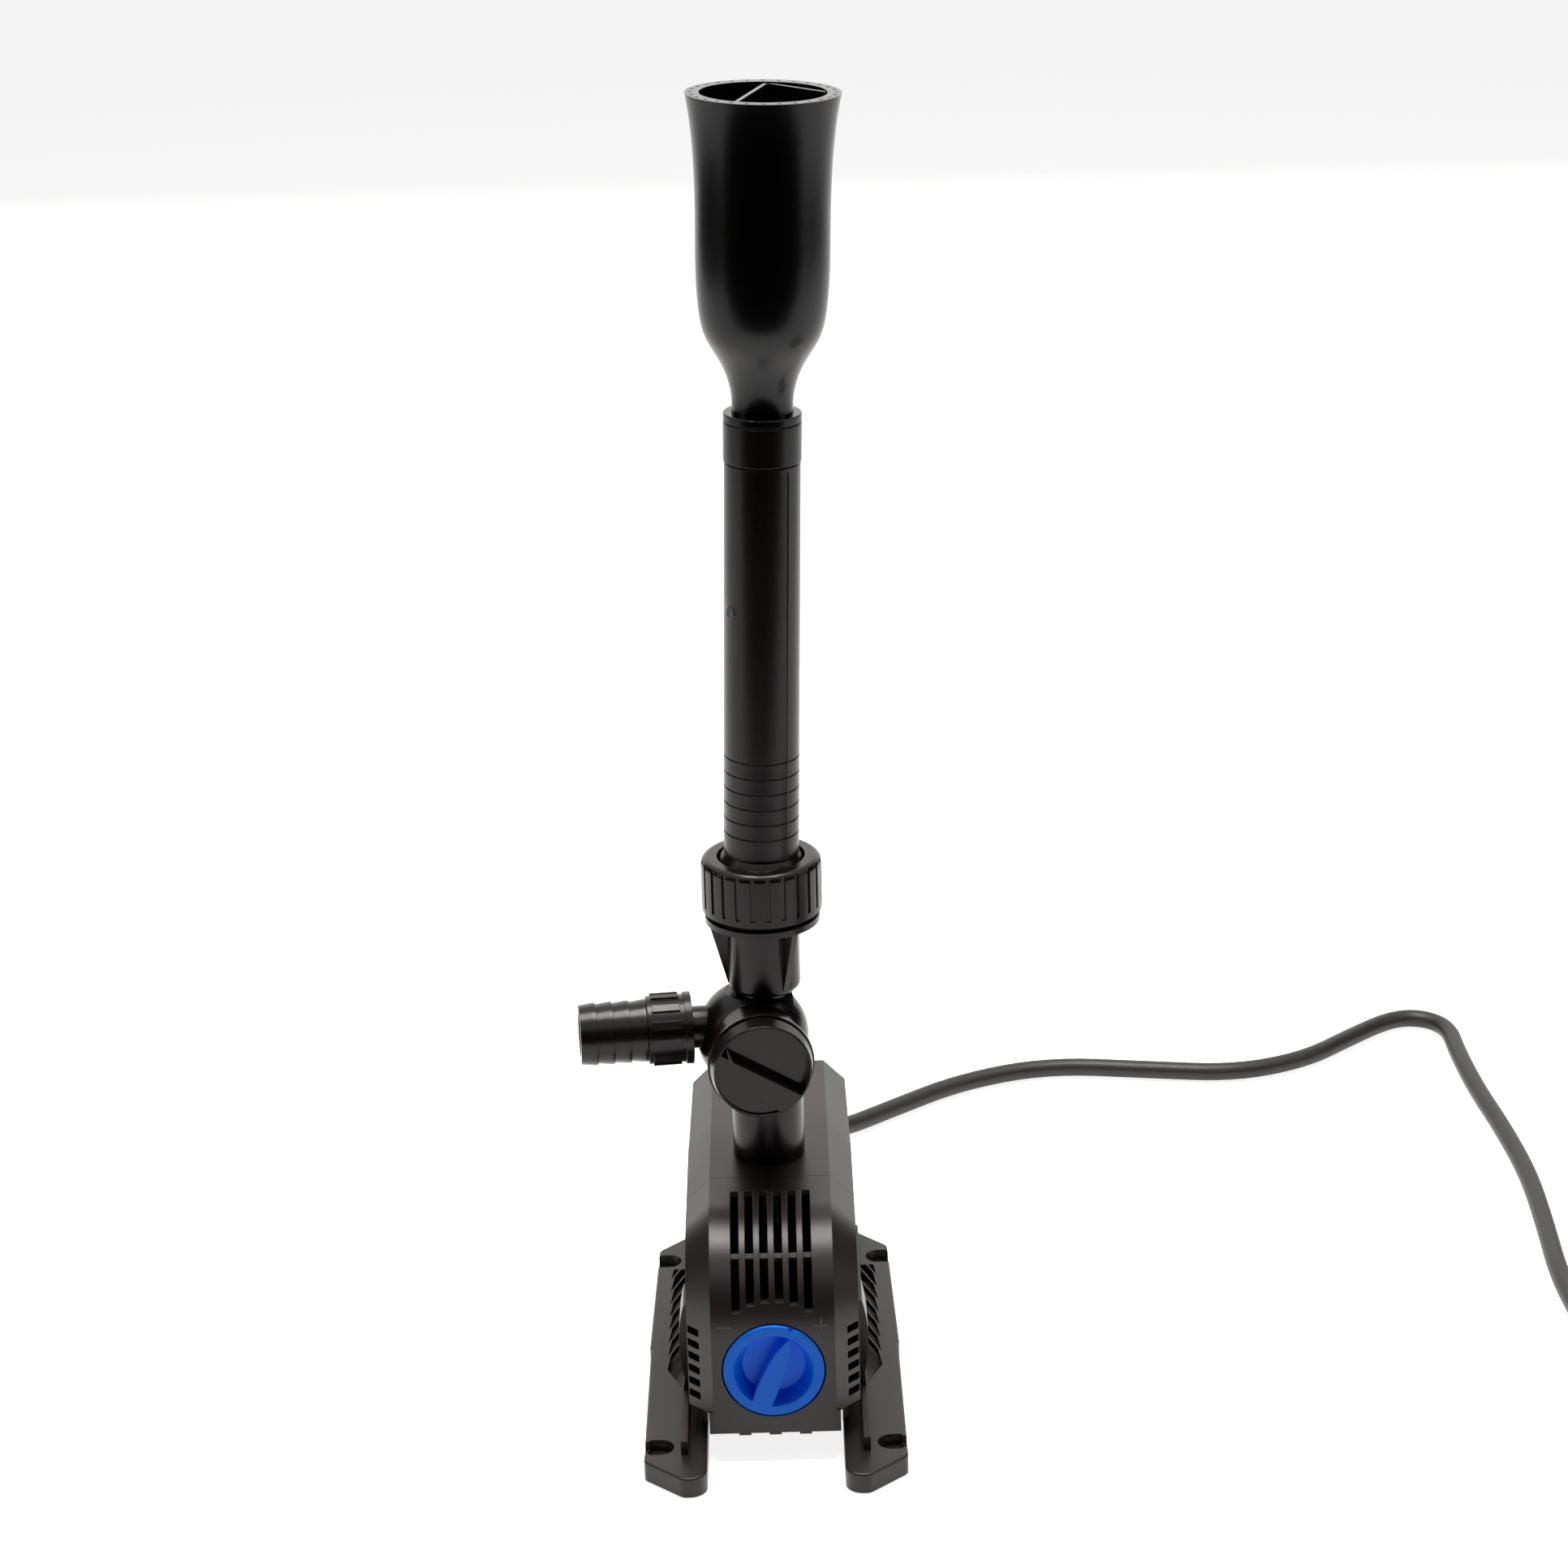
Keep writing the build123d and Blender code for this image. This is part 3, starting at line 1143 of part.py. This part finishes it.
def cord_radii(points):
    """Largest tangent arc at each inner point, and the turn there."""
    radii = []
    for before, here, after in zip(points, points[1:], points[2:]):
        first = Vector(*here) - Vector(*before)
        second = Vector(*after) - Vector(*here)
        turn = first.get_angle(second)
        shorter = min(first.length, second.length)
        radii.append(0.45 * shorter / tan(radians(turn / 2)))
    return radii


def cord_tube(points):
    radii = cord_radii(points)
    path = FilletPolyline(*points, radius=radii)
    start = Plane(origin=path @ 0, z_dir=path % 0)
    tube = sweep(start * Circle(CORD_D / 2), path=path)
    print("cord radii", [round(r, 1) for r in radii])
    print("cord length", round(path.length, 1), "tube volume / (section x length)",
          round(tube.volume / (pi * CORD_D ** 2 / 4 * path.length), 4))
    return tube


def cord_coil():
    """Outer shape of the wound coil."""
    inner, outer = COIL_MID_R - COIL_WIDTH / 2, COIL_MID_R + COIL_WIDTH / 2
    ring = turned([(inner, 0.1), (outer, 0.1), (outer, COIL_HEIGHT), (inner, COIL_HEIGHT)])
    ring = fillet(ring.edges(), CORD_D / 2 - 0.3)
    return Pos(*COIL_CENTRE, 0) * ring


def plug_body():
    """Round plug lying on the floor, its pins towards +Y."""
    x, y = PLUG_START
    profile = [(0, 0), (CORD_D / 2 + 1.6, 0), (CORD_D / 2 + 3.2, 16), (12.0, 22), (14.0, 34), (PLUG_R, 40),
               (PLUG_R, 50), (0, 50)]
    return Pos(x, y, PLUG_R + 0.2) * Rot(X=-90) * turned(profile)


def plug_pins():
    x, y = PLUG_START
    start = y + 50
    pins = []
    for side in (-9.5, 9.5):
        pin = rod_y(2.4, (start, start + 19), x + side, PLUG_R + 0.2)
        pins.append(fillet(pin.faces().sort_by(Axis.Y)[-1].edges(), 1.4))
    return pins


def coil_tie():
    """Strap round the coil's cross-section, on its far side."""
    inner, outer = COIL_MID_R - COIL_WIDTH / 2 - 1.0, COIL_MID_R + COIL_WIDTH / 2 + 0.2
    high = COIL_HEIGHT + 0.2
    inside = block((inner, outer), (-9, 9), (0.05, high))
    band = block((inner - 1.4, outer + 1.4), (-7, 7), (0.0, high + 1.4)) - inside
    return Pos(*COIL_CENTRE, 0) * Rot(Z=TIE_TURN) * band


# ---------------------------------------------------------------- output

def nodes():
    clip = side_clip()
    coil = stator_coil()
    return {
        "base_frame": base_frame(),
        "base_screws": base_screws(),
        "middle_housing": middle_housing(),
        "rear_housing": rear_housing(),
        "strainer_cage": strainer_cage(),
        "side_clip_left": mirrored(clip),
        "side_clip_right": clip,
        "flow_dial": flow_dial(),
        "dial_stem": dial_stem(),
        "throttle_plate": throttle_plate(),
        "dial_clip": dial_clip(),
        "volute_cover": volute_cover(),
        "chamber_seal": chamber_seal(),
        "chamber_screws": chamber_screws(),
        "outlet_seal": outlet_seal(),
        "motor_can": motor_can(),
        "stator_core": stator_core(),
        "stator_coil_left": mirrored(coil),
        "stator_coil_right": coil,
        "potting_resin": potting_resin(),
        "rotor_shaft": rotor_shaft(),
        "front_bush": front_bush(),
        "rear_bush": rear_bush(),
        "impeller": impeller(),
        "magnet_rotor": magnet_rotor(),
        "diverter_body": at_yaw(diverter_body()),
        "valve_cover": at_yaw(valve_cover()),
        "valve_spool": at_yaw(valve_spool()),
        "spool_seal": at_yaw(spool_seal()),
        "diverter_knob": at_yaw(diverter_knob()),
        "riser_socket": at_yaw(riser_socket()),
        "ball_seat": ball_seat(),
        "riser_nut": at_yaw(riser_nut()),
        "side_nut": at_yaw(side_nut()),
        "hose_barb": at_yaw(hose_barb()),
        "side_gasket": at_yaw(side_gasket()),
        "riser_tube": riser_tube(),
        "riser_collar": riser_collar(),
        "nozzle_stem": nozzle_stem(),
        "stem_seal": stem_seal(),
        "nozzle_shell": nozzle_shell(),
        "nozzle_insert": nozzle_insert(),
        "nozzle_vane": nozzle_vane(),
        "cord_gland": cord_gland(),
        "strain_relief": strain_relief(),
        "power_cord": cord_tube(CORD_ROUTE),
        "cord_coil": cord_coil(),
        "cord_tail": cord_tube(TAIL_ROUTE),
        "coil_tie": coil_tie(),
        "plug_body": plug_body(),
        "plug_pins": plug_pins(),
    }


def as_compound(shape):
    solids = []
    for piece in (shape if isinstance(shape, list) else [shape]):
        solids += piece.solids()
    return Compound(children=solids)


os.makedirs("parts", exist_ok=True)
for name, shape in nodes().items():
    export_step(as_compound(shape), f"parts/{name}.step")
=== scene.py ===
"""Fountain submersible pump: materials, cord, floor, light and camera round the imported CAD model."""
import json
import math

import bpy
from mathutils import Matrix, Vector


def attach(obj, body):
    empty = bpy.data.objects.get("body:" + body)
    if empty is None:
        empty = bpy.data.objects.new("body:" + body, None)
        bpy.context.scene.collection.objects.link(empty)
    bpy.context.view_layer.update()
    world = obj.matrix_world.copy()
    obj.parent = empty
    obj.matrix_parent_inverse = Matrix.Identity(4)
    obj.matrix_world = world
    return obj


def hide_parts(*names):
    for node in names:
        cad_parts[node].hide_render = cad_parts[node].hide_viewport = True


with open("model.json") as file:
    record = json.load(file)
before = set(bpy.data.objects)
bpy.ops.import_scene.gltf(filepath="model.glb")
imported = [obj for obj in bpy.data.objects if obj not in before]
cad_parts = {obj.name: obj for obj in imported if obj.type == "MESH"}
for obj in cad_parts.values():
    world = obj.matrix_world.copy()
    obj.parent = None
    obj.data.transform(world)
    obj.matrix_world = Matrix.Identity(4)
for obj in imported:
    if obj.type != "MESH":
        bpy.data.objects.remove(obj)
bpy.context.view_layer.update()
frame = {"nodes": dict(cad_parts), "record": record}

MM = 0.001

# ---- surfaces: sizes in millimetres, noise scales in cells per metre ----
EDGE_R = 0.35               # radius that the shading gives to sharp moulded edges
PATCH_SCALE = 35.0          # slow changes of colour and gloss
WAVE_SCALE = 60.0           # flow waves of a moulding
WAVE_DEPTH = 0.06
SEAMS_Y = (-24.0, 24.0)     # joints between the three parts of the housing
SEAM_HALF = 0.55
SEAM_BLACK = (0.001, 0.001, 0.001)

# ---- camera: a long lens, looking down at the front ----
CAMERA_AT = (0.010, -1.258, 0.729)
CAMERA_DOWN = 20.7          # degrees below the horizon
CAMERA_ROLL = -1.5
FOCAL_SHARE = 4200 / 1932   # focal length over the image's width
SENSOR = 36.0

# ---- studio, in metres ----
FLOOR_REACH = 7.0
FLOOR_FRONT_Y = -0.62       # the floor ends in front of the object, outside the view
FLOOR_Z = -0.0005
FLOOR_WHITE = (0.86, 0.86, 0.86)
FLOOR_LIFT = 0.85           # the floor's own brightness, for the rays that show the backdrop
BACKDROP = 1.0              # the world's strength for those rays
AMBIENT = 0.04              # and for the light on the object
WARM = (1.0, 0.95, 0.92)
LIGHTS_AIM = (0.0, 0.0, 0.2)
FLAG_AWAY = 1.9
FLAG_TOP = 1.7
FLAG_BACK_Y = 2.2

# ---- the cord: route points in millimetres, as in the CAD ----
CORD_D = 8.6
CORD_ROUTE = [
    (10.0, 122.0, 34.0), (10.0, 140.0, 34.0), (12.0, 158.0, 26.5), (19.0, 176.0, 13.5),
    (33.0, 194.0, 5.2), (58.0, 216.0, 4.4), (92.0, 243.0, 4.4), (136.0, 259.0, 4.4), (186.0, 251.0, 4.4),
    (226.0, 245.0, 4.4), (262.0, 258.0, 4.4), (288.0, 282.0, 4.4), (309.0, 300.0, 4.4),
    (322.0, 304.0, 4.4), (333.0, 299.0, 4.4), (339.0, 287.0, 4.4), (338.0, 264.0, 4.4),
    (339.0, 222.0, 4.4), (343.0, 178.0, 4.4), (345.0, 130.0, 4.4), (342.0, 82.0, 4.4),
    (338.0, 36.0, 4.4), (340.0, -8.0, 4.4), (344.6, -50.0, 4.4), (346.1, -92.0, 4.4),
]
TAIL_ROUTE = [
    (508.7, -92.0, 38.8), (510.5, -66.0, 38.8), (516.0, -40.0, 32.0),
    (524.0, -15.0, 21.0), (527.0, 6.0, 18.8), (527.0, 22.0, 18.8),
]
COIL_CENTRE = (436.0, -92.0)
COIL_MID_R = 77.0
COIL_LANES = 4
COIL_TURNS = 18.5
TURN_POINTS = 16
CROSSOVER = 0.2             # share of a turn in which the cord moves to the next lane


# ------------------------------------------------------------ node helpers

def new_material(name):
    """A material with its nodes, its links and its shader."""
    material = bpy.data.materials.new(name)
    material.use_nodes = True
    nodes = material.node_tree.nodes
    shader = nodes["Principled BSDF"]
    return material, nodes, material.node_tree.links, shader


def noise(nodes, links, coords, scale, detail=3.0, roughness=0.55):
    texture = nodes.new("ShaderNodeTexNoise")
    texture.inputs["Scale"].default_value = scale
    texture.inputs["Detail"].default_value = detail
    texture.inputs["Roughness"].default_value = roughness
    links.new(coords, texture.inputs["Vector"])
    return texture.outputs["Fac"]


def object_coords(nodes):
    return nodes.new("ShaderNodeTexCoord").outputs["Object"]


def spread(nodes, links, value, low, high):
    """Map a 0 to 1 value onto low to high."""
    node = nodes.new("ShaderNodeMapRange")
    node.inputs["From Min"].default_value = 0.3
    node.inputs["From Max"].default_value = 0.7
    node.inputs["To Min"].default_value = low
    node.inputs["To Max"].default_value = high
    links.new(value, node.inputs["Value"])
    return node.outputs["Result"]


def mix_colours(nodes, links, value, first, second):
    node = nodes.new("ShaderNodeMix")
    node.data_type = "RGBA"
    node.inputs["A"].default_value = (*first, 1)
    node.inputs["B"].default_value = (*second, 1)
    links.new(value, node.inputs["Factor"])
    return node.outputs["Result"]


def bump(nodes, links, height, distance, strength, under=None):
    node = nodes.new("ShaderNodeBump")
    node.inputs["Distance"].default_value = distance
    node.inputs["Strength"].default_value = strength
    links.new(height, node.inputs["Height"])
    if under is not None:
        links.new(under, node.inputs["Normal"])
    return node.outputs["Normal"]


def rounded_edges(nodes, radius):
    """Normals that round each sharp edge by a small radius, so that it catches the light."""
    node = nodes.new("ShaderNodeBevel")
    node.samples = 4
    node.inputs["Radius"].default_value = radius
    return node.outputs["Normal"]


def moulded(name, colour, roughness, grain=0.45, grain_depth=0.04, specular=0.5, dust=0.0):
    """Injection-moulded plastic: fine grain, faint flow waves, uneven gloss and softened edges."""
    material, nodes, links, shader = new_material(name)
    coords = object_coords(nodes)
    patches = noise(nodes, links, coords, PATCH_SCALE, 4.0)
    lighter = tuple(min(1.0, c * 1.12 + dust) for c in colour)
    links.new(mix_colours(nodes, links, patches, colour, lighter), shader.inputs["Base Color"])
    gloss = spread(nodes, links, patches, roughness * 0.95, roughness * 1.05)
    links.new(gloss, shader.inputs["Roughness"])
    fine = noise(nodes, links, coords, 1.0 / (grain * MM), 2.0)
    slow = noise(nodes, links, coords, WAVE_SCALE, 1.0)
    waves = bump(nodes, links, slow, WAVE_DEPTH * MM, 0.25, rounded_edges(nodes, EDGE_R * MM))
    links.new(bump(nodes, links, fine, grain_depth * MM, 0.6, waves), shader.inputs["Normal"])
    shader.inputs["Specular IOR Level"].default_value = specular
    return material


def darken_seams(material):
    """The shadow gap at each joint of the housing, across its length."""
    nodes, links = material.node_tree.nodes, material.node_tree.links
    target = nodes["Principled BSDF"].inputs["Base Color"]
    place = nodes.new("ShaderNodeSeparateXYZ")
    links.new(object_coords(nodes), place.inputs["Vector"])
    for seam in SEAMS_Y:
        near = nodes.new("ShaderNodeMath")
        near.operation = "COMPARE"
        near.inputs[1].default_value = seam * MM
        near.inputs[2].default_value = SEAM_HALF * MM
        links.new(place.outputs["Y"], near.inputs[0])
        dark = nodes.new("ShaderNodeMix")
        dark.data_type = "RGBA"
        dark.inputs["B"].default_value = (*SEAM_BLACK, 1)
        links.new(target.links[0].from_socket, dark.inputs["A"])
        links.new(near.outputs[0], dark.inputs["Factor"])
        links.new(dark.outputs["Result"], target)


def rubber(name, colour, roughness):
    """Soft plastic or rubber with a fine, uneven skin."""
    material, nodes, links, shader = new_material(name)
    coords = object_coords(nodes)
    fine = noise(nodes, links, coords, 1800.0, 4.0, 0.7)
    worn = tuple(c * 1.5 for c in colour)
    links.new(mix_colours(nodes, links, noise(nodes, links, coords, 90.0), colour, worn),
              shader.inputs["Base Color"])
    links.new(spread(nodes, links, fine, roughness - 0.06, roughness + 0.08), shader.inputs["Roughness"])
    links.new(bump(nodes, links, fine, 0.05 * MM, 0.5), shader.inputs["Normal"])
    return material


def metal(name, colour, roughness, stretch=(1.0, 1.0, 1.0)):
    """Turned or drawn metal with fine lines along one direction."""
    material, nodes, links, shader = new_material(name)
    mapping = nodes.new("ShaderNodeMapping")
    mapping.inputs["Scale"].default_value = stretch
    links.new(object_coords(nodes), mapping.inputs["Vector"])
    lines = noise(nodes, links, mapping.outputs["Vector"], 700.0, 3.0)
    darker = tuple(c * 0.85 for c in colour)
    links.new(mix_colours(nodes, links, lines, darker, colour), shader.inputs["Base Color"])
    links.new(spread(nodes, links, lines, roughness * 0.8, roughness * 1.25), shader.inputs["Roughness"])
    links.new(bump(nodes, links, lines, 0.03 * MM, 0.5), shader.inputs["Normal"])
    shader.inputs["Metallic"].default_value = 1.0
    return material


# ------------------------------------------------------------ materials

def make_materials():
    black = (0.015, 0.0115, 0.0102)
    return {
        "housing_plastic": moulded("housing_plastic", black, 0.34, 0.5, 0.05, 0.36, dust=0.002),
        "frame_plastic": moulded("frame_plastic", black, 0.38, 0.5, 0.05, 0.36, dust=0.002),
        "outlet_plastic": moulded("outlet_plastic", (0.006, 0.0045, 0.004), 0.25, 0.6, 0.02, 0.30),
        "nozzle_plastic": moulded("nozzle_plastic", (0.002, 0.0018, 0.0018), 0.22, 0.7, 0.012, 0.30),
        "dial_blue": moulded("dial_blue", (0.0, 0.17, 0.95), 0.30, 0.5, 0.02, 0.20),
        "inner_plastic": moulded("inner_plastic", (0.03, 0.03, 0.034), 0.45),
        "seal_rubber": rubber("seal_rubber", (0.012, 0.012, 0.012), 0.6),
        "cord_rubber": rubber("cord_rubber", (0.012, 0.0115, 0.011), 0.46),
        "screw_steel": metal("screw_steel", (0.60, 0.60, 0.62), 0.28),
        "core_steel": metal("core_steel", (0.28, 0.28, 0.30), 0.45, (0.05, 6.0, 0.05)),
        "coil_wire": metal("coil_wire", (0.68, 0.28, 0.12), 0.35, (0.1, 0.1, 3.0)),
        "resin": moulded("resin", (0.02, 0.017, 0.014), 0.25, 2.0, 0.02),
        "ceramic": moulded("ceramic", (0.82, 0.80, 0.75), 0.18, 0.8, 0.005),
        "magnet": metal("magnet", (0.12, 0.12, 0.13), 0.5),
        "plug_metal": metal("plug_metal", (0.78, 0.66, 0.42), 0.25, (1.0, 0.05, 1.0)),
    }


def dress_cad_nodes(materials):
    """Give each CAD node the material of its slot."""
    for entry in frame["record"]["subparts"]:
        piece = frame["nodes"][entry["node"]]
        material = materials[entry["material_slot"]]
        if not piece.material_slots:
            piece.data.materials.append(material)
        for slot in piece.material_slots:
            slot.material = material


# ------------------------------------------------------------ cord

def ease(share):
    """A soft step from 0 to 1."""
    share = min(1.0, max(0.0, share))
    return share * share * (3 - 2 * share)


def coil_cell(turn):
    """Lane and layer at a number of turns; the cord steps over at the end of each turn."""
    whole = int(turn)
    step = ease((turn - whole - 1 + CROSSOVER) / CROSSOVER)

    def cell(index):
        layer, place = divmod(index, COIL_LANES)
        lane = COIL_LANES - 1 - place if layer % 2 == 0 else place
        return lane, layer

    here, after = cell(whole), cell(whole + 1)
    return here[0] + (after[0] - here[0]) * step, here[1] + (after[1] - here[1]) * step


def coil_points():
    """Turns of the coil, from its outer lower left round to its top right."""
    points = []
    flat = math.cos(math.pi / TURN_POINTS)     # a control point stands this much outside the line
    steps = round(COIL_TURNS * TURN_POINTS)
    for i in range(1, steps):
        turn = i / TURN_POINTS
        lane, layer = coil_cell(turn)
        radius = (COIL_MID_R + (lane - (COIL_LANES - 1) / 2) * CORD_D) / flat
        angle = math.pi + turn * math.tau
        points.append((COIL_CENTRE[0] + radius * math.cos(angle), COIL_CENTRE[1] + radius * math.sin(angle),
                       CORD_ROUTE[-1][2] + layer * CORD_D))
    return points


def make_cord(material):
    """One cord from the strain relief to the plug, in place of the CAD's three pieces."""
    points = CORD_ROUTE + coil_points() + TAIL_ROUTE
    curve = bpy.data.curves.new("mains_cord", "CURVE")
    curve.dimensions = "3D"
    curve.bevel_depth = CORD_D / 2 * MM
    curve.bevel_resolution = 6
    curve.use_fill_caps = True
    spline = curve.splines.new("NURBS")
    spline.points.add(len(points) - 1)
    for target, point in zip(spline.points, points):
        target.co = (*(c * MM for c in point), 1.0)
    spline.order_u = 3
    spline.use_endpoint_u = True
    spline.resolution_u = 6
    cord = bpy.data.objects.new("mains_cord", curve)
    bpy.context.scene.collection.objects.link(cord)
    curve.materials.append(material)
    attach(cord, "pump")
    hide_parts("power_cord", "cord_coil", "cord_tail")


# ------------------------------------------------------------ floor, light, camera

def background_rays(nodes, links):
    """1 for the rays that show the backdrop: seen directly, mirrored, or through glass."""
    light = nodes.new("ShaderNodeLightPath")
    total = light.outputs["Is Camera Ray"]
    for name in ("Is Glossy Ray", "Is Transmission Ray"):
        either = nodes.new("ShaderNodeMath")
        either.operation = "MAXIMUM"
        links.new(total, either.inputs[0])
        links.new(light.outputs[name], either.inputs[1])
        total = either.outputs[0]
    return total


def flat_panel(name, corners, material):
    mesh = bpy.data.meshes.new(name)
    mesh.from_pydata(corners, [], [(0, 1, 2, 3)])
    mesh.materials.append(material)
    panel = bpy.data.objects.new(name, mesh)
    bpy.context.scene.collection.objects.link(panel)
    return panel


def make_floor():
    material, nodes, links, shader = new_material("floor_white")
    shader.inputs["Base Color"].default_value = (*FLOOR_WHITE, 1)
    shader.inputs["Roughness"].default_value = 0.9
    shader.inputs["Specular IOR Level"].default_value = 0.0
    lift = nodes.new("ShaderNodeMapRange")
    lift.inputs["To Min"].default_value = 0.0
    lift.inputs["To Max"].default_value = FLOOR_LIFT
    links.new(background_rays(nodes, links), lift.inputs["Value"])
    links.new(lift.outputs["Result"], shader.inputs["Emission Strength"])
    shader.inputs["Emission Color"].default_value = (1, 1, 1, 1)
    reach, front = FLOOR_REACH, FLOOR_FRONT_Y
    plan = [(-reach, front), (reach, front), (reach, reach), (-reach, reach)]
    flat_panel("floor", [(x, y, FLOOR_Z) for x, y in plan], material)


def make_flags():
    """Black flags in front of the object and beside it, which keep their side of the studio dark."""
    material, _, _, shader = new_material("flag_black")
    shader.inputs["Base Color"].default_value = (0, 0, 0, 1)
    shader.inputs["Specular IOR Level"].default_value = 0.0
    away, low, high = FLAG_AWAY, -FLAG_AWAY, FLAG_TOP
    stands = [
        ("flag_front", (-away, -away), (away, -away)),
        ("flag_left", (-away, -away), (-away, FLAG_BACK_Y)),
        ("flag_right", (away, -away), (away, FLAG_BACK_Y)),
    ]
    for name, start, end in stands:
        panel = flat_panel(name, [(*start, low), (*end, low), (*end, high), (*start, high)], material)
        panel.visible_camera = False


def make_world():
    world = bpy.data.worlds.new("studio")
    world.use_nodes = True
    nodes, links = world.node_tree.nodes, world.node_tree.links
    background = nodes["Background"]
    background.inputs["Color"].default_value = (1, 1, 1, 1)
    strength = nodes.new("ShaderNodeMapRange")
    strength.inputs["To Min"].default_value = AMBIENT
    strength.inputs["To Max"].default_value = BACKDROP
    links.new(background_rays(nodes, links), strength.inputs["Value"])
    links.new(strength.outputs["Result"], background.inputs["Strength"])
    bpy.context.scene.world = world


def area_light(name, at, size, power, colour=WARM):
    data = bpy.data.lights.new(name, "AREA")
    data.shape = "RECTANGLE"
    data.size, data.size_y = size
    data.energy = power
    data.color = colour
    lamp = bpy.data.objects.new(name, data)
    lamp.location = at
    lamp.rotation_euler = (Vector(LIGHTS_AIM) - Vector(at)).to_track_quat("-Z", "Y").to_euler()
    lamp.visible_camera = False
    bpy.context.scene.collection.objects.link(lamp)


def make_lights():
    """A softbox overhead, a bright wall behind, and weak boxes at the sides; the front stays dark."""
    area_light("overhead", (0.0, 0.12, 1.45), (0.7, 0.6), 24.0)
    area_light("back_wall", (0.0, 2.4, 0.85), (3.4, 1.4), 8.0, (1.0, 0.94, 0.90))
    area_light("left_box", (-1.7, -0.3, 0.9), (0.7, 1.3), 3.0)
    area_light("right_box", (1.6, -0.2, 0.9), (0.7, 1.3), 3.0)


def make_camera():
    data = bpy.data.cameras.new("camera")
    data.sensor_width = SENSOR
    data.lens = FOCAL_SHARE * SENSOR
    data.clip_start = 0.01
    camera = bpy.data.objects.new("camera", data)
    tilt = Matrix.Rotation(math.radians(90 - CAMERA_DOWN), 4, "X")
    roll = Matrix.Rotation(math.radians(CAMERA_ROLL), 4, "Z")
    camera.matrix_world = Matrix.Translation(CAMERA_AT) @ tilt @ roll
    bpy.context.scene.collection.objects.link(camera)
    bpy.context.scene.camera = camera
    bpy.context.scene.view_settings.view_transform = "Standard"


materials = make_materials()
darken_seams(materials["housing_plastic"])
dress_cad_nodes(materials)
make_cord(materials["cord_rubber"])
make_floor()
make_flags()
make_world()
make_lights()
make_camera()
